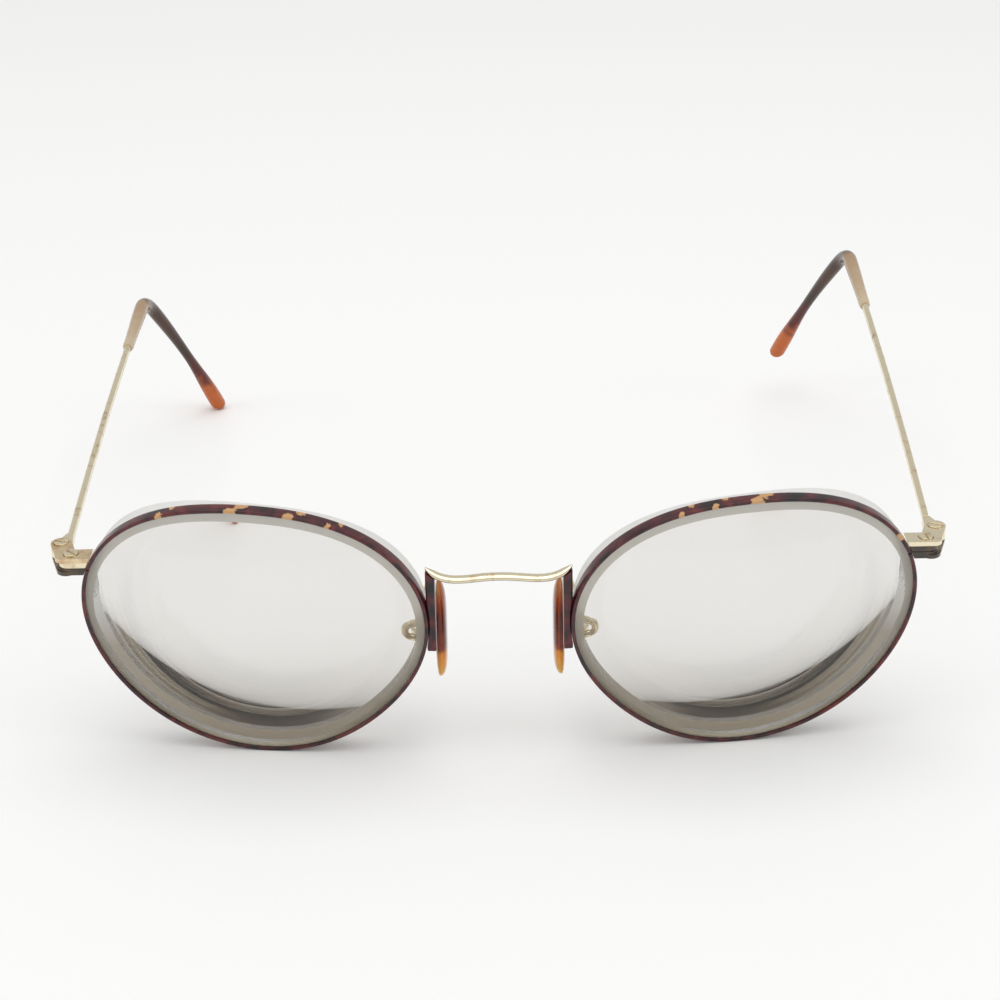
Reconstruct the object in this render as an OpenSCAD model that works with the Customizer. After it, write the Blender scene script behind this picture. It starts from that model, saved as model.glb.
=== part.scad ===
// Round metal eyeglass frame with enamelled rims, slim wire temples and rocking nose pads.
// X runs across the face, Y from the front of the frame back to the ears and Z up.
// Left and right are as seen from the front, and each side is drawn on the right and mirrored.

/* [Lenses] */
// Width of a lens, its boxed eye size
lens_w = 48.2; // [44.2:0.5:51.2]
// Height of a lens
lens_h = 41.5; // [38:0.5:43]
// Distance between the two lenses across the nose
lens_gap = 21.4; // [20:0.2:24]
// How far the bottom and the upper corners stand out past an ellipse
panto_rise = 0.9; // [0.4:0.05:1.2]
// How far the outer upper corner stands out past the inner one
outer_corner_rise = 0.35; // [0:0.05:0.6]
// How far the nose side stands out past the outer side
nose_side_rise = 0.2; // [0:0.05:0.4]
// How far the outer upper corner is squared up
corner_fullness = 0.1; // [0:0.05:0.25]
// Thickness in the middle of a lens
lens_core_t = 1.1; // [1:0.05:1.5]
// Radius of the outer face of a lens
lens_front_radius = 400; // [300:10:800]
// Radius of the hollow inner face of a lens
lens_back_radius = 47; // [46:1:70]
// Width of the ground band round the outer face
lens_band_w = 1.2; // [0.6:0.1:1.6]
// How far the ground band slopes back
lens_band_slope = 0.25; // [0.1:0.05:0.3]
// Size of the ground bevel round the inner face
lens_rear_bevel = 1.2; // [0.6:0.1:1.6]
// How far the middle of the inner face lies towards the nose from the middle of the lens
lens_decentre = 1.2; // [0:0.2:1.4]

/* [Rims] */
// Thickness of the eyewire from the lens outwards
rim_wall = 0.55; // [0.5:0.05:0.8]
// Depth of the eyewire from front to back
rim_depth = 1.75; // [1.65:0.05:2.2]
// Depth of the lens groove
groove_depth = 0.3; // [0.2:0.02:0.34]
// Width of the lens groove at its mouth
groove_w = 0.8; // [0.6:0.05:0.9]
// Round-off of the eyewire's edges
rim_edge = 0.16; // [0.08:0.02:0.2]
// Play of the lens in its groove
lens_play = 0.05; // [0.03:0.01:0.08]
// Gap where the eyewire is split at the endpiece
rim_split_gap = 0.2; // [0.1:0.05:0.4]
// Angle by which each rim wraps back round the face
wrap_angle = 5.6; // [4:0.2:7]
// Angle by which the top of each rim leans forward
tilt_angle = 6.5; // [4:0.5:9]

/* [Bridge] */
// Height of the middle of the bridge above the lens centres
bridge_h = 9.6; // [9:0.1:11]
// Depth of the two dips beside the middle
bridge_dip = 0.6; // [0.2:0.05:0.8]
// Height of the bridge's ends above its middle
bridge_rise = 0.9; // [0.5:0.1:1.6]
// Thickness of the bridge
bridge_t = 0.95; // [0.7:0.05:1.2]
// Depth of the bridge from front to back
bridge_depth = 1.7; // [1.2:0.1:2.2]
// How far the middle of the bridge arches forward
bridge_arch = 1.2; // [0.6:0.1:2]
// Thickness of the foot that joins the bridge to a rim
foot_t = 1.05; // [0.8:0.05:1.2]
// Depth of the foot from front to back
foot_depth = 1.6; // [1.3:0.1:1.8]
// How far the foot's top stands out past its narrowest place
foot_spread = 0.25; // [0.1:0.05:0.4]
// Seam between soldered pieces
seam = 0.02; // [0.01:0.01:0.05]

/* [Endpieces] */
// Place of the endpiece round the rim, up from the middle of the outer side
endpiece_angle = 23; // [20:0.2:26]
// Distance of the closing screw out from the rim
lock_out = 2.35; // [2.2:0.05:2.8]
// Distance of the closing screw back from the middle of the rim's depth
lock_back = 1.35; // [1.1:0.05:1.6]
// Distance of the hinge screw out from the closing screw
hinge_out = 1.9; // [1.4:0.1:2.4]
// Distance of the hinge screw back from the closing screw
hinge_back = 3.4; // [3.3:0.1:4]
// Thickness of the top plate
plate_t = 0.65; // [0.6:0.05:0.8]
// Height of the upper closing block
upper_block_h = 1; // [0.9:0.05:1.3]
// Height of the lower closing block
lower_block_h = 1.05; // [0.95:0.05:1.3]
// How far the plate stands in front of the closing screw
plate_front = 1.75; // [1.6:0.05:1.9]
// How far the plate and the blocks reach behind the closing screw
plate_rear = 1.25; // [1.1:0.05:1.4]
// How far the plate stands out past the closing screw
plate_side = 2.2; // [2:0.05:2.4]
// Radius of the plate's outer front corner
plate_corner_r = 1.2; // [0.9:0.05:1.4]
// How far the blocks stand back from the plate's front edge
block_inset = 0.2; // [0.1:0.05:0.3]
// How far the blocks stand out past the closing screw
block_side = 1.75; // [1.6:0.05:1.9]
// Radius of the hinge leaves round the hinge screw
leaf_r = 1.5; // [1.35:0.05:1.6]
// Thickness of the lower hinge leaf
lower_leaf_t = 0.6; // [0.5:0.05:0.7]
// Gap above and below the temple's knuckle
hinge_gap = 0.05; // [0.03:0.01:0.08]

/* [Screws] */
// Diameter of the screws' shanks
screw_d = 1.2; // [1:0.05:1.3]
// Diameter of the screws' heads
screw_head_d = 2.1; // [1.9:0.05:2.3]
// Height of the screws' heads
screw_head_h = 0.5; // [0.4:0.05:0.6]
// Depth to which the heads are let into the plate
screw_sink = 0.3; // [0.2:0.05:0.4]
// Width of the screwdriver slots
slot_w = 0.36; // [0.25:0.05:0.45]
// Depth of the screwdriver slots
slot_depth = 0.28; // [0.2:0.02:0.34]
// Running clearance round a screw's shank
screw_fit = 0.05; // [0.03:0.01:0.08]

/* [Temples] */
// Length of a temple from the hinge screw to its bend
temple_len = 95; // [85:1:105]
// Length of the drop behind the ear
drop_len = 31; // [26:0.5:36]
// Angle of the bend over the ear
bend_angle = 52; // [40:1:60]
// Radius of the bend over the ear
bend_radius = 8.4; // [7.5:0.1:12]
// Radius of the gentle curve of the drop
drop_radius = 130; // [100:10:300]
// Angle at which the temples rise towards the ears
temple_rise_angle = 0.9; // [-1:0.1:1.5]
// Angle by which the right temple stands higher and the left one lower, 0 when trued
temple_skew = 1.9; // [1.4:0.1:2.2]
// How far a temple bows outwards
temple_bow = 0.4; // [0:0.1:1.5]
// How far a temple starts inwards of the hinge screw
temple_inset = 0.7; // [0.3:0.1:0.9]
// How far the bend stands outwards of the hinge screw
temple_spread = 1.3; // [-2:0.1:3]
// How far a temple's end leans in from its bend
tip_lean = 9.7; // [4:0.1:11]
// Width of the temple wire
wire_w = 1.05; // [0.9:0.05:1.2]
// Height of the temple wire
wire_h = 1.2; // [1:0.05:1.25]
// Length of the knuckle's flared tang
tang_len = 4.2; // [3.6:0.1:6]

/* [Temple tips] */
// Length of the tip's straight part before the bend
tip_lead = 19; // [14:0.5:24]
// Thickness of the tip at its mouth
tip_mouth_d = 1.9; // [1.7:0.05:2.1]
// Length of the sloping step at the tip's mouth
tip_step = 0.9; // [0.5:0.1:1.5]
// Thickness of the tip at the bend
tip_bend_d = 2.4; // [2:0.05:2.8]
// Thickness of the tip at its waist
tip_waist_d = 1.8; // [1.6:0.05:2.2]
// Thickness of the rounded end
tip_bulb_d = 2.9; // [2.4:0.05:3.4]
// Thickness of the wire's core inside the tip
core_d = 0.9; // [0.7:0.05:1]
// Play of the core in the tip
core_play = 0.04; // [0.02:0.01:0.06]
// Distance from the core's end to the end of the drop
core_stop = 7; // [5:0.5:10]

/* [Nose pads] */
// Length of a nose pad
pad_len = 15.6; // [12:0.2:17]
// Width of a nose pad from front to back
pad_w = 8; // [6.5:0.1:9]
// Crown of the pad's face on the nose side
pad_crown = 1.2; // [1:0.05:1.3]
// Crown of the pad's back
pad_back_crown = 0.5; // [0.4:0.05:0.6]
// Distance between the two pads' faces
pad_gap = 15.3; // [15:0.1:15.6]
// Height of the pads' middle below the lens centres
pad_below = 3.3; // [2.8:0.1:3.8]
// Distance of the pads' middle behind the lens centres' fronts
pad_back = 5.4; // [5.3:0.1:5.8]
// Thickness of the pad's stud
stud_t = 0.7; // [0.6:0.05:0.8]
// Radius of the stud's base
stud_base_r = 1.2; // [1:0.05:1.3]
// Radius of the stud's eye
stud_r = 0.75; // [0.7:0.05:0.8]
// Diameter of the pad screw's shank
pad_screw_d = 0.7; // [0.6:0.05:0.8]
// Diameter of the pad screw's head
pad_screw_head_d = 1.3; // [1.1:0.05:1.5]
// Height of the pad screw's head
pad_screw_head_h = 0.4; // [0.3:0.05:0.5]
// Thickness of the pad box's walls
box_wall = 0.35; // [0.3:0.05:0.4]
// Height of the pad box
box_h = 2.2; // [2:0.1:2.4]
// Gap between the stud's base and the box that lets the pad rock
rock_gap = 0.3; // [0.25:0.05:0.35]
// Side gap of the stud in its box
stud_side_gap = 0.1; // [0.06:0.02:0.14]
// Diameter of the pad arm's wire
arm_d = 0.75; // [0.7:0.05:0.8]
// Diameter of the pad arm's wire in its loop
arm_loop_d = 1; // [0.9:0.05:1.05]
// How far the pad arm's loop stands out from the pad box
arm_loop = 0.95; // [0.85:0.05:1.1]
// Height of the pad arm where it leaves the foot, above the pad screw
arm_rise = 8.7; // [8.6:0.1:9]

/* [Hidden] */
left = -1;
right = 1;
rim_steps = 96;
wire_sides = 12;
round_sides = 48;
gold = [0.84, 0.74, 0.5];
copper_gold = [0.78, 0.62, 0.42];
tortoise = [0.27, 0.1, 0.08];
amber = [0.8, 0.5, 0.1, 0.8];
glass = [0.87, 0.88, 0.86, 0.4];

// Outline of a lens: radius, its change per radian, direction of its outward normal, and a point beyond it
mean_r = (lens_w + lens_h) / 4;
oval_r = (lens_w - lens_h) / 4;
function outline_r(a) = mean_r + oval_r * cos(2 * a) + panto_rise * sin(3 * a)
    + outer_corner_rise * sin(2 * a) - nose_side_rise * cos(3 * a) + corner_fullness * sin(5 * a - 58);
function outline_slope(a) = -2 * oval_r * sin(2 * a) + 3 * panto_rise * cos(3 * a)
    + 2 * outer_corner_rise * cos(2 * a) + 3 * nose_side_rise * sin(3 * a)
    + 5 * corner_fullness * cos(5 * a - 58);
function normal_at(a) = a - atan2(outline_slope(a), outline_r(a));
function outline_u(a, out) = outline_r(a) * cos(a) + out * cos(normal_at(a));
function outline_v(a, out) = outline_r(a) * sin(a) + out * sin(normal_at(a));

// A rim's own axes: across, back from its front face, and up along its face
rim_x = lens_gap / 2 + outline_r(180) * cos(wrap_angle);
function turn_x(p, a) = [p[0], p[1] * cos(a) - p[2] * sin(a), p[1] * sin(a) + p[2] * cos(a)];
function turn_z(p, a) = [p[0] * cos(a) - p[1] * sin(a), p[0] * sin(a) + p[1] * cos(a), p[2]];
function on_rim(p) = [rim_x, 0, 0] + turn_z(turn_x(p, tilt_angle), wrap_angle);
function rim_point(a, out, back) = on_rim([outline_u(a, out), back, outline_v(a, out)]);
module in_rim_axes() {
    translate([rim_x, 0, 0]) rotate([tilt_angle, 0, wrap_angle]) children();
}

// Eyewire section: how far out and back each corner lies
rim_mid = rim_depth / 2;
rim_section = [
    [0, rim_edge], [rim_edge, 0], [rim_wall - rim_edge, 0], [rim_wall, rim_edge],
    [rim_wall, rim_depth - rim_edge], [rim_wall - rim_edge, rim_depth], [rim_edge, rim_depth],
    [0, rim_depth - rim_edge], [0, rim_mid + groove_w / 2], [groove_depth, rim_mid + groove_w / 6],
    [groove_depth, rim_mid - groove_w / 6], [0, rim_mid - groove_w / 2]
];
split_half = rim_split_gap / 2 / outline_r(endpiece_angle) * 180 / PI;
rim_angles = [for (i = [0 : rim_steps])
    endpiece_angle + split_half + i * (360 - 2 * split_half) / rim_steps];
rim_rings = [for (a = rim_angles) [for (c = rim_section) rim_point(a, c[0], c[1])]];

// Lens faces: distance back from the rim's front face at a place on the lens
lens_vertex = rim_edge - pow(lens_w / 2, 2) / 2 / lens_front_radius;
function lens_front(u, v) = lens_vertex + (u * u + v * v) / 2 / lens_front_radius;
function lens_back(u, v) = lens_vertex + lens_core_t
    + (pow(u + lens_decentre, 2) + v * v) / 2 / lens_back_radius;
lens_angles = [for (i = [0 : rim_steps - 1]) i * 360 / rim_steps];
bevel_h = groove_depth - 2 * lens_play;
bevel_half = groove_w / 2 - 2 * lens_play;
function front_ring(share) = [for (a = lens_angles)
    let (r = share * (outline_r(a) - lens_band_w), u = r * cos(a), v = r * sin(a))
    on_rim([u, lens_front(u, v), v])];
function inner_r(a) = outline_r(a) - lens_play - lens_rear_bevel;
function back_ring(share) = [for (a = lens_angles)
    let (u = share * inner_r(a) * cos(a), v = share * inner_r(a) * sin(a))
    on_rim([u, lens_back(u, v), v])];
function edge_ring(out, back) = [for (a = lens_angles) rim_point(a, out, back)];
wall_end_ring = [for (a = lens_angles)
    rim_point(a, -lens_play, lens_back(inner_r(a) * cos(a), inner_r(a) * sin(a)) - lens_rear_bevel)];
lens_rings = concat(
    [for (share = [0.25, 0.5, 0.75, 1]) front_ring(share)],
    [edge_ring(-lens_play, rim_edge + lens_band_slope), edge_ring(-lens_play, rim_mid - bevel_half),
     edge_ring(bevel_h, rim_mid), edge_ring(-lens_play, rim_mid + bevel_half), wall_end_ring],
    [for (share = [1, 0.75, 0.5, 0.25]) back_ring(share)]
);

// Feet: an upright bar whose outer side follows the rim, from below its narrowest place up to the bridge
foot_angles = [for (i = [0 : 10]) 186 - i * 2.25];
foot_at = rim_point(180, rim_wall + 2 * seam, rim_mid);
foot_face_x = foot_at[0] - foot_t;
foot_top_x = foot_at[0] + foot_spread;

// Bridge: a flattened bar whose height follows x squared and x to the fourth
bridge_half = foot_top_x;
bridge_y = foot_at[1];
bridge_p = 2 * bridge_dip + sqrt(4 * pow(bridge_dip, 2) + 4 * bridge_dip * bridge_rise);
bridge_q = bridge_p + bridge_rise;
function bridge_z(x) = let (t = x / bridge_half) bridge_h - bridge_p * pow(t, 2) + bridge_q * pow(t, 4);
function bridge_steep(x) = let (t = x / bridge_half)
    atan((-2 * bridge_p * t + 4 * bridge_q * pow(t, 3)) / bridge_half);
function bridge_taper(x) = let (t = abs(x) / bridge_half) t < 0.85 ? 1 : 1 - 0.75 * pow((t - 0.85) / 0.15, 2);
function bridge_line(x) = [x, bridge_y - bridge_arch * (1 - pow(x / bridge_half, 2)), bridge_z(x)];
function bridge_ring(x) = let (c = bridge_line(x), s = bridge_steep(x), k = bridge_taper(x))
    [for (i = [0 : wire_sides - 1]) let (b = i * 360 / wire_sides, up = bridge_t / 2 * k * sin(b))
        c + [-up * sin(s), bridge_depth / 2 * k * cos(b), up * cos(s)]];
bridge_steps = 40;
bridge_rings = [for (i = [0 : bridge_steps]) bridge_ring(bridge_half * (2 * i / bridge_steps - 1))];
function under_bridge(x) = let (b = min(abs(x), bridge_half))
    bridge_z(b) - bridge_t / 2 / cos(bridge_steep(b)) - seam;

// Foot section, with its corners cut, and its rings from the bottom up
foot_edge = foot_t / 4;
function foot_section(half_t) = let (half_d = foot_depth / 2, e = foot_edge)
    [[half_t, e - half_d], [half_t, half_d - e], [half_t - e, half_d], [e - half_t, half_d],
     [-half_t, half_d - e], [-half_t, e - half_d], [e - half_t, -half_d], [half_t - e, -half_d]];
function foot_ring(a, at_top) = let (p = rim_point(a, rim_wall + 2 * seam, rim_mid),
        x = at_top ? foot_top_x : min(p[0], foot_top_x), half_t = (x - foot_face_x) / 2)
    [for (k = foot_section(half_t)) let (c = turn_z([k[0], k[1], 0], wrap_angle))
        [x - half_t + c[0], bridge_y + c[1], at_top ? under_bridge(x - half_t + c[0]) : p[2]]];
foot_rings = concat([for (a = foot_angles) foot_ring(a, false)], [foot_ring(0, true)]);

// Endpiece stack: heights and the two screws' places
endpiece_seat = rim_point(endpiece_angle, rim_wall, rim_mid);
stack_h = plate_t + upper_block_h + lower_block_h;
plate_top = endpiece_seat[2] + stack_h / 2;
plate_z = plate_top - plate_t;
split_z = plate_z - upper_block_h;
stack_z = split_z - lower_block_h;
lock_at = [endpiece_seat[0] + lock_out, endpiece_seat[1] + lock_back];
hinge_at = lock_at + [hinge_out, hinge_back];
block_r = (plate_front - block_inset + plate_rear) / 2;
screw_r = screw_d / 2;
head_z = plate_top - screw_sink;
knuckle_z = stack_z + lower_leaf_t + hinge_gap;
knuckle_h = plate_z - hinge_gap - knuckle_z;
temple_z = knuckle_z + knuckle_h / 2;

// Temple line in its upright plane: straight, then the bend, then the gently curved drop
bend_len = bend_radius * bend_angle * PI / 180;
temple_end = temple_len + bend_len + drop_len;
function along(p, down, s) = p + s * [cos(down), -sin(down)];
function round_to(p, down, r, s) = let (b = down + s / r * 180 / PI)
    p + r * [sin(b) - sin(down), cos(b) - cos(down)];
function heading(s, slope) = s < temple_len ? slope
    : s < temple_len + bend_len ? slope + (s - temple_len) / bend_radius * 180 / PI
    : slope + bend_angle + (s - temple_len - bend_len) / drop_radius * 180 / PI;
function line_at(s, slope) = let (a = along([0, 0], slope, min(s, temple_len)))
    s < temple_len ? a
    : let (b = round_to(a, slope, bend_radius, min(s - temple_len, bend_len)))
      s < temple_len + bend_len ? b
      : round_to(b, slope + bend_angle, drop_radius, s - temple_len - bend_len);
function sideways(s) = s < temple_len
    ? temple_bow * sin(180 * s / temple_len) - temple_inset + (temple_spread + temple_inset) * s / temple_len
    : let (t = s - temple_len) temple_spread - tip_lean / (drop_len + bend_len / 2)
        * (t < bend_len ? t * t / bend_len / 2 : t - bend_len / 2);
function temple_ring(s, slope, half_w, half_h) = let (p = line_at(s, slope), h = heading(s, slope))
    [for (i = [0 : wire_sides - 1]) let (b = i * 360 / wire_sides, up = half_h * sin(b))
        [hinge_at[0] + sideways(s) + half_w * cos(b), hinge_at[1] + p[0] + up * sin(h),
         temple_z + p[1] + up * cos(h)]];
function slope_of(side) = -temple_rise_angle - side * temple_skew;

// Wire: full size up to the tip, then its core inside the tip
tip_start = temple_len - tip_lead;
core_end = temple_end - core_stop;
wire_stations = concat(
    [for (i = [0 : 12]) tang_len + i * (tip_start - tang_len) / 12],
    [for (i = [0 : 3]) tip_start + tip_step + i * (tip_lead - tip_step) / 3],
    [for (i = [1 : 8]) temple_len + i * bend_len / 8],
    [for (i = [1 : 6]) temple_len + bend_len + i * (drop_len - core_stop) / 6]
);
function wire_ring(s, slope) = s > tip_start
    ? temple_ring(s, slope, core_d / 2, core_d / 2)
    : temple_ring(s, slope, wire_w / 2, wire_h / 2);
function wire_rings(slope) = [for (s = wire_stations) wire_ring(s, slope)];

// Tip: its outside from the mouth to the rounded end, and the bore that the core fills
function ease(t) = (1 - cos(180 * t)) / 2;
function between(s, from_s, to_s, a, b) = a + (b - a) * ease(min(max((s - from_s) / (to_s - from_s), 0), 1));
waist_at = temple_len + bend_len + drop_len * 0.5;
bulb_at = temple_end - tip_bulb_d;
function tip_d(s) = s < temple_len ? between(s, tip_start, temple_len, tip_mouth_d, tip_bend_d)
    : s < waist_at ? between(s, temple_len + bend_len, waist_at, tip_bend_d, tip_waist_d)
    : between(s, waist_at, bulb_at, tip_waist_d, tip_bulb_d);
function tip_end_d(s) = let (t = (s - (temple_end - tip_bulb_d / 2)) / (tip_bulb_d / 2))
    t <= 0 ? tip_d(s) : tip_d(s) * sqrt(1 - t * t);
bore_stations = concat(
    [core_end + core_play],
    [for (i = [5 : -1 : 0]) temple_len + bend_len + i * (core_end - temple_len - bend_len) / 6],
    [for (i = [7 : -1 : 0]) temple_len + i * bend_len / 8], [tip_start + tip_step, tip_start]
);
tip_stations = concat(
    [for (i = [0 : 6]) tip_start + tip_step + i * (tip_lead - tip_step) / 6],
    [for (i = [1 : 8]) temple_len + i * bend_len / 8],
    [for (i = [1 : 12]) temple_len + bend_len + i * (drop_len - tip_bulb_d / 2) / 12],
    [for (b = [25, 50, 70, 84]) temple_end - tip_bulb_d / 2 * (1 - sin(b))]
);
bore_r = core_d / 2 + core_play;
mouth_w = wire_w / 2 + core_play;
mouth_h = wire_h / 2 + core_play;
mouth_wall = 0.12;
function bore_ring(s, slope) = s > tip_start
    ? temple_ring(s, slope, bore_r, bore_r)
    : temple_ring(s, slope, mouth_w, mouth_h);
function tip_rings(slope) = concat(
    [for (s = bore_stations) bore_ring(s, slope)],
    [temple_ring(tip_start, slope, mouth_w + mouth_wall, mouth_h + mouth_wall)],
    [for (s = tip_stations) temple_ring(s, slope, tip_end_d(s) / 2, tip_end_d(s) / 2)]
);

// Nose pad: an oval whose face and back are crowned, centred on its rim
pad_x = pad_gap / 2 + pad_crown;
pad_at = [pad_x, pad_back, -pad_below];
pad_power = 0.45;
pad_sides = 28;
function pad_ring(b) = let (k = pow(cos(b), pad_power), x = sin(b) * (b < 0 ? pad_crown : pad_back_crown))
    [for (i = [0 : pad_sides - 1]) let (c = i * 360 / pad_sides)
        pad_at + [x, k * pad_w / 2 * cos(c), k * pad_len / 2 * sin(c)]];
pad_rings = [for (b = [-82, -65, -45, -25, 0, 25, 45, 65, 82]) pad_ring(b)];
pad_back_x = pad_x + pad_back_crown * sin(82);

// Pad stud, box and screw: the pad rocks about the screw, which runs from front to back
stud_base_t = 0.3;
box_nose_gap = 0.05;
box_front_x = pad_back_x + seam + stud_base_t + rock_gap;
eye_x = box_front_x + stud_r + box_nose_gap;
box_back_x = eye_x + stud_r + stud_side_gap;
box_half = stud_t / 2 + stud_side_gap + box_wall;
pad_screw_r = pad_screw_d / 2;

// Pad arm: back from the foot over the pad's end, down behind the lens, and by a loop into the box
arm_run = 2.2;
arm_sweep = 0.8;
arm_turn = 1.1;
arm_set_back = 0.2;
arm_start_way = turn_z([0, 1, 0], wrap_angle);
arm_end_way = [-1, 0, 0];
arm_from = [(foot_face_x + foot_top_x) / 2, bridge_y, arm_rise - pad_below]
    + (foot_depth / 2 + seam) * arm_start_way;
arm_to = [box_back_x + box_wall + seam, pad_back, -pad_below];
arm_y = pad_back + arm_set_back;
arm_places = [
    arm_from, arm_from + arm_run * arm_start_way,
    [pad_back_x + arm_d / 2 + arm_sweep / 3, arm_y - arm_turn, arm_from[2] - arm_turn / 3],
    [pad_back_x + arm_d / 2 + arm_sweep, arm_y, arm_from[2] - 2 * arm_turn],
    [pad_back_x + arm_d / 2 + arm_sweep, arm_y, arm_to[2] + 4 * arm_turn],
    [arm_to[0] - arm_turn / 3, arm_y, arm_to[2] + 2.2 * arm_turn],
    [arm_to[0] + arm_loop * 0.8, arm_y, arm_to[2] + 1.4 * arm_turn],
    [arm_to[0] + arm_loop, pad_back + arm_set_back / 2, arm_to[2] + arm_turn / 2],
    [arm_to[0] + arm_loop * 0.5, pad_back, arm_to[2]], arm_to
];
arm_last = len(arm_places) - 1;
arm_aside = [0.3, 0.7, 0.6];
function arm_line(t) = let (i = min(floor(t), arm_last - 1), f = t - i, p = arm_places[max(i - 1, 0)],
        q = arm_places[i], r = arm_places[i + 1], s = arm_places[min(i + 2, arm_last)])
    q + f * (r - p) / 2 + f * f * (2 * p - 5 * q + 4 * r - s) / 2 + f * f * f * (3 * q - p - 3 * r + s) / 2;
function arm_way(t) = t <= 0 ? arm_start_way : t >= arm_last ? arm_end_way
    : let (d = arm_line(t + 0.01) - arm_line(t - 0.01)) d / norm(d);
function arm_r(t) = (arm_d + (arm_loop_d - arm_d) * ease(min(max(t / 2 - 2, 0), 1))) / 2;
function arm_ring(t) = let (w = arm_way(t), s = cross(arm_aside, w), e = s / norm(s), f = cross(w, e))
    [for (i = [0 : wire_sides - 1]) let (b = i * 360 / wire_sides)
        arm_line(t) + arm_r(t) * (cos(b) * e + sin(b) * f)];
arm_rings = [for (i = [0 : 3 * arm_last]) arm_ring(i / 3)];

// Place of the whole: middle of its length at Y 0 and its lowest point at Z 0
function lowest(rings, k) = min([for (r = rings) for (p = r) p[k]]);
function highest(rings, k) = max([for (r = rings) for (p = r) p[k]]);
front_y = min(lowest(rim_rings, 1), lowest(lens_rings, 1), lowest(bridge_rings, 1));
back_y = max(highest(tip_rings(slope_of(left)), 1), highest(tip_rings(slope_of(right)), 1));
mid_y = (front_y + back_y) / 2;
floor_z = min(lowest(rim_rings, 2), lowest(tip_rings(slope_of(left)), 2),
    lowest(tip_rings(slope_of(right)), 2));

module placed(side) {
    translate([0, -mid_y, -floor_z]) mirror([side < 0 ? 1 : 0, 0, 0]) children();
}

// Closed skin over a row of rings with equal counts of points
module skin(rings) {
    n = len(rings[0]);
    last = len(rings) - 1;
    walls = [for (k = [0 : last - 1]) for (i = [0 : n - 1])
        [k * n + i, k * n + (i + 1) % n, (k + 1) * n + (i + 1) % n, (k + 1) * n + i]];
    start_cap = [for (i = [n - 1 : -1 : 0]) i];
    end_cap = [for (i = [0 : n - 1]) last * n + i];
    polyhedron([for (r = rings) each r], concat(walls, [start_cap, end_cap]), convexity = 10);
}

// Flat bar of width w between two places
module bar(from, to, w) {
    d = to - from;
    translate(from) rotate(atan2(d[1], d[0])) translate([0, -w / 2]) square([norm(d), w]);
}

// Everything on the lens side of the rim's outer wall, near the endpiece
module rim_side() {
    a = endpiece_angle;
    n = normal_at(a);
    wall_at = outline_r(a) * cos(a - n) + rim_wall + seam;
    slide = outline_r(a) * sin(a - n);
    reach = 6;
    in_rim_axes() rotate([0, -n, 0]) translate([wall_at - reach, rim_mid - reach, slide - reach])
        cube([reach, 2 * reach, 2 * reach]);
}

// Plan of a band from the rim outwards, from y1 to y2 and as far as x2, seen from the closing screw
module band(y1, y2, x2) {
    inner_x = rim_point(endpiece_angle, 0, rim_mid)[0] - stack_h / 2;
    translate([inner_x, lock_at[1] + y1]) square([lock_at[0] + x2 - inner_x, y2 - y1]);
}

// Plan of the plate round the closing screw, with its rounded outer front corner
module plate_plan() {
    corner_x = plate_side - plate_corner_r;
    band(-plate_front, plate_rear, corner_x);
    translate(lock_at + [corner_x, plate_corner_r - plate_front]) circle(plate_corner_r, $fn = round_sides);
}

// Plan of a closing block, with its round outer end
module block_plan() {
    end_x = block_side - block_r;
    band(plate_rear - 2 * block_r, plate_rear, end_x);
    translate(lock_at + [end_x, plate_rear - block_r]) circle(block_r, $fn = round_sides);
}

// Plan of a hinge leaf, from beside the closing screw to the hinge screw
module leaf_plan() {
    foot_at = lock_at + [plate_side - leaf_r, plate_rear - leaf_r];
    translate(hinge_at) circle(leaf_r, $fn = round_sides);
    translate(foot_at) circle(leaf_r, $fn = round_sides);
    bar(foot_at, hinge_at, 2 * leaf_r);
}

module screw(at, bottom) {
    shank = head_z + (screw_head_h - slot_depth) / 2 - bottom;
    translate([at[0], at[1], bottom]) cylinder(r = screw_r, h = shank, $fn = round_sides);
    difference() {
        translate([at[0], at[1], head_z]) cylinder(d = screw_head_d, h = screw_head_h, $fn = round_sides);
        translate([at[0], at[1], head_z + screw_head_h - slot_depth / 2]) rotate(25)
            cube([screw_head_d + 1, slot_w, slot_depth + seam], center = true);
    }
}

module screw_hole(at, bottom, height, r) {
    translate([at[0], at[1], bottom - seam]) cylinder(r = r, h = height + 2 * seam, $fn = round_sides);
}

module head_recess(at) {
    translate([at[0], at[1], head_z - seam])
        cylinder(d = screw_head_d + 2 * screw_fit, h = screw_sink + 2 * seam, $fn = round_sides);
}

module rim(side) {
    color(tortoise) placed(side) skin(rim_rings);
}

module lens(side) {
    color(glass) placed(side) skin(lens_rings);
}

module bridge() {
    color(gold) placed(right) skin(bridge_rings);
}

module bridge_foot(side) {
    color(tortoise) placed(side) skin(foot_rings);
}

module endpiece_plate(side) {
    color(gold) placed(side) difference() {
        translate([0, 0, plate_z]) linear_extrude(plate_t) {
            plate_plan();
            leaf_plan();
        }
        rim_side();
        screw_hole(lock_at, plate_z, plate_t, screw_r + screw_fit);
        screw_hole(hinge_at, plate_z, plate_t, screw_r + screw_fit);
        head_recess(lock_at);
        head_recess(hinge_at);
    }
}

module upper_closing_block(side) {
    color(copper_gold) placed(side) difference() {
        translate([0, 0, split_z + seam]) linear_extrude(upper_block_h - 2 * seam) block_plan();
        rim_side();
        screw_hole(lock_at, split_z, upper_block_h, screw_r + screw_fit);
    }
}

module lower_closing_block(side) {
    color(tortoise) placed(side) difference() {
        translate([0, 0, stack_z]) {
            linear_extrude(lower_block_h - seam) block_plan();
            linear_extrude(lower_leaf_t) leaf_plan();
        }
        rim_side();
        screw_hole(lock_at, stack_z, lower_block_h, screw_r + screw_fit);
        screw_hole(hinge_at, stack_z, lower_leaf_t, screw_r + screw_fit);
    }
}

module closing_screw(side) {
    color(gold) placed(side) screw(lock_at, stack_z);
}

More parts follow.
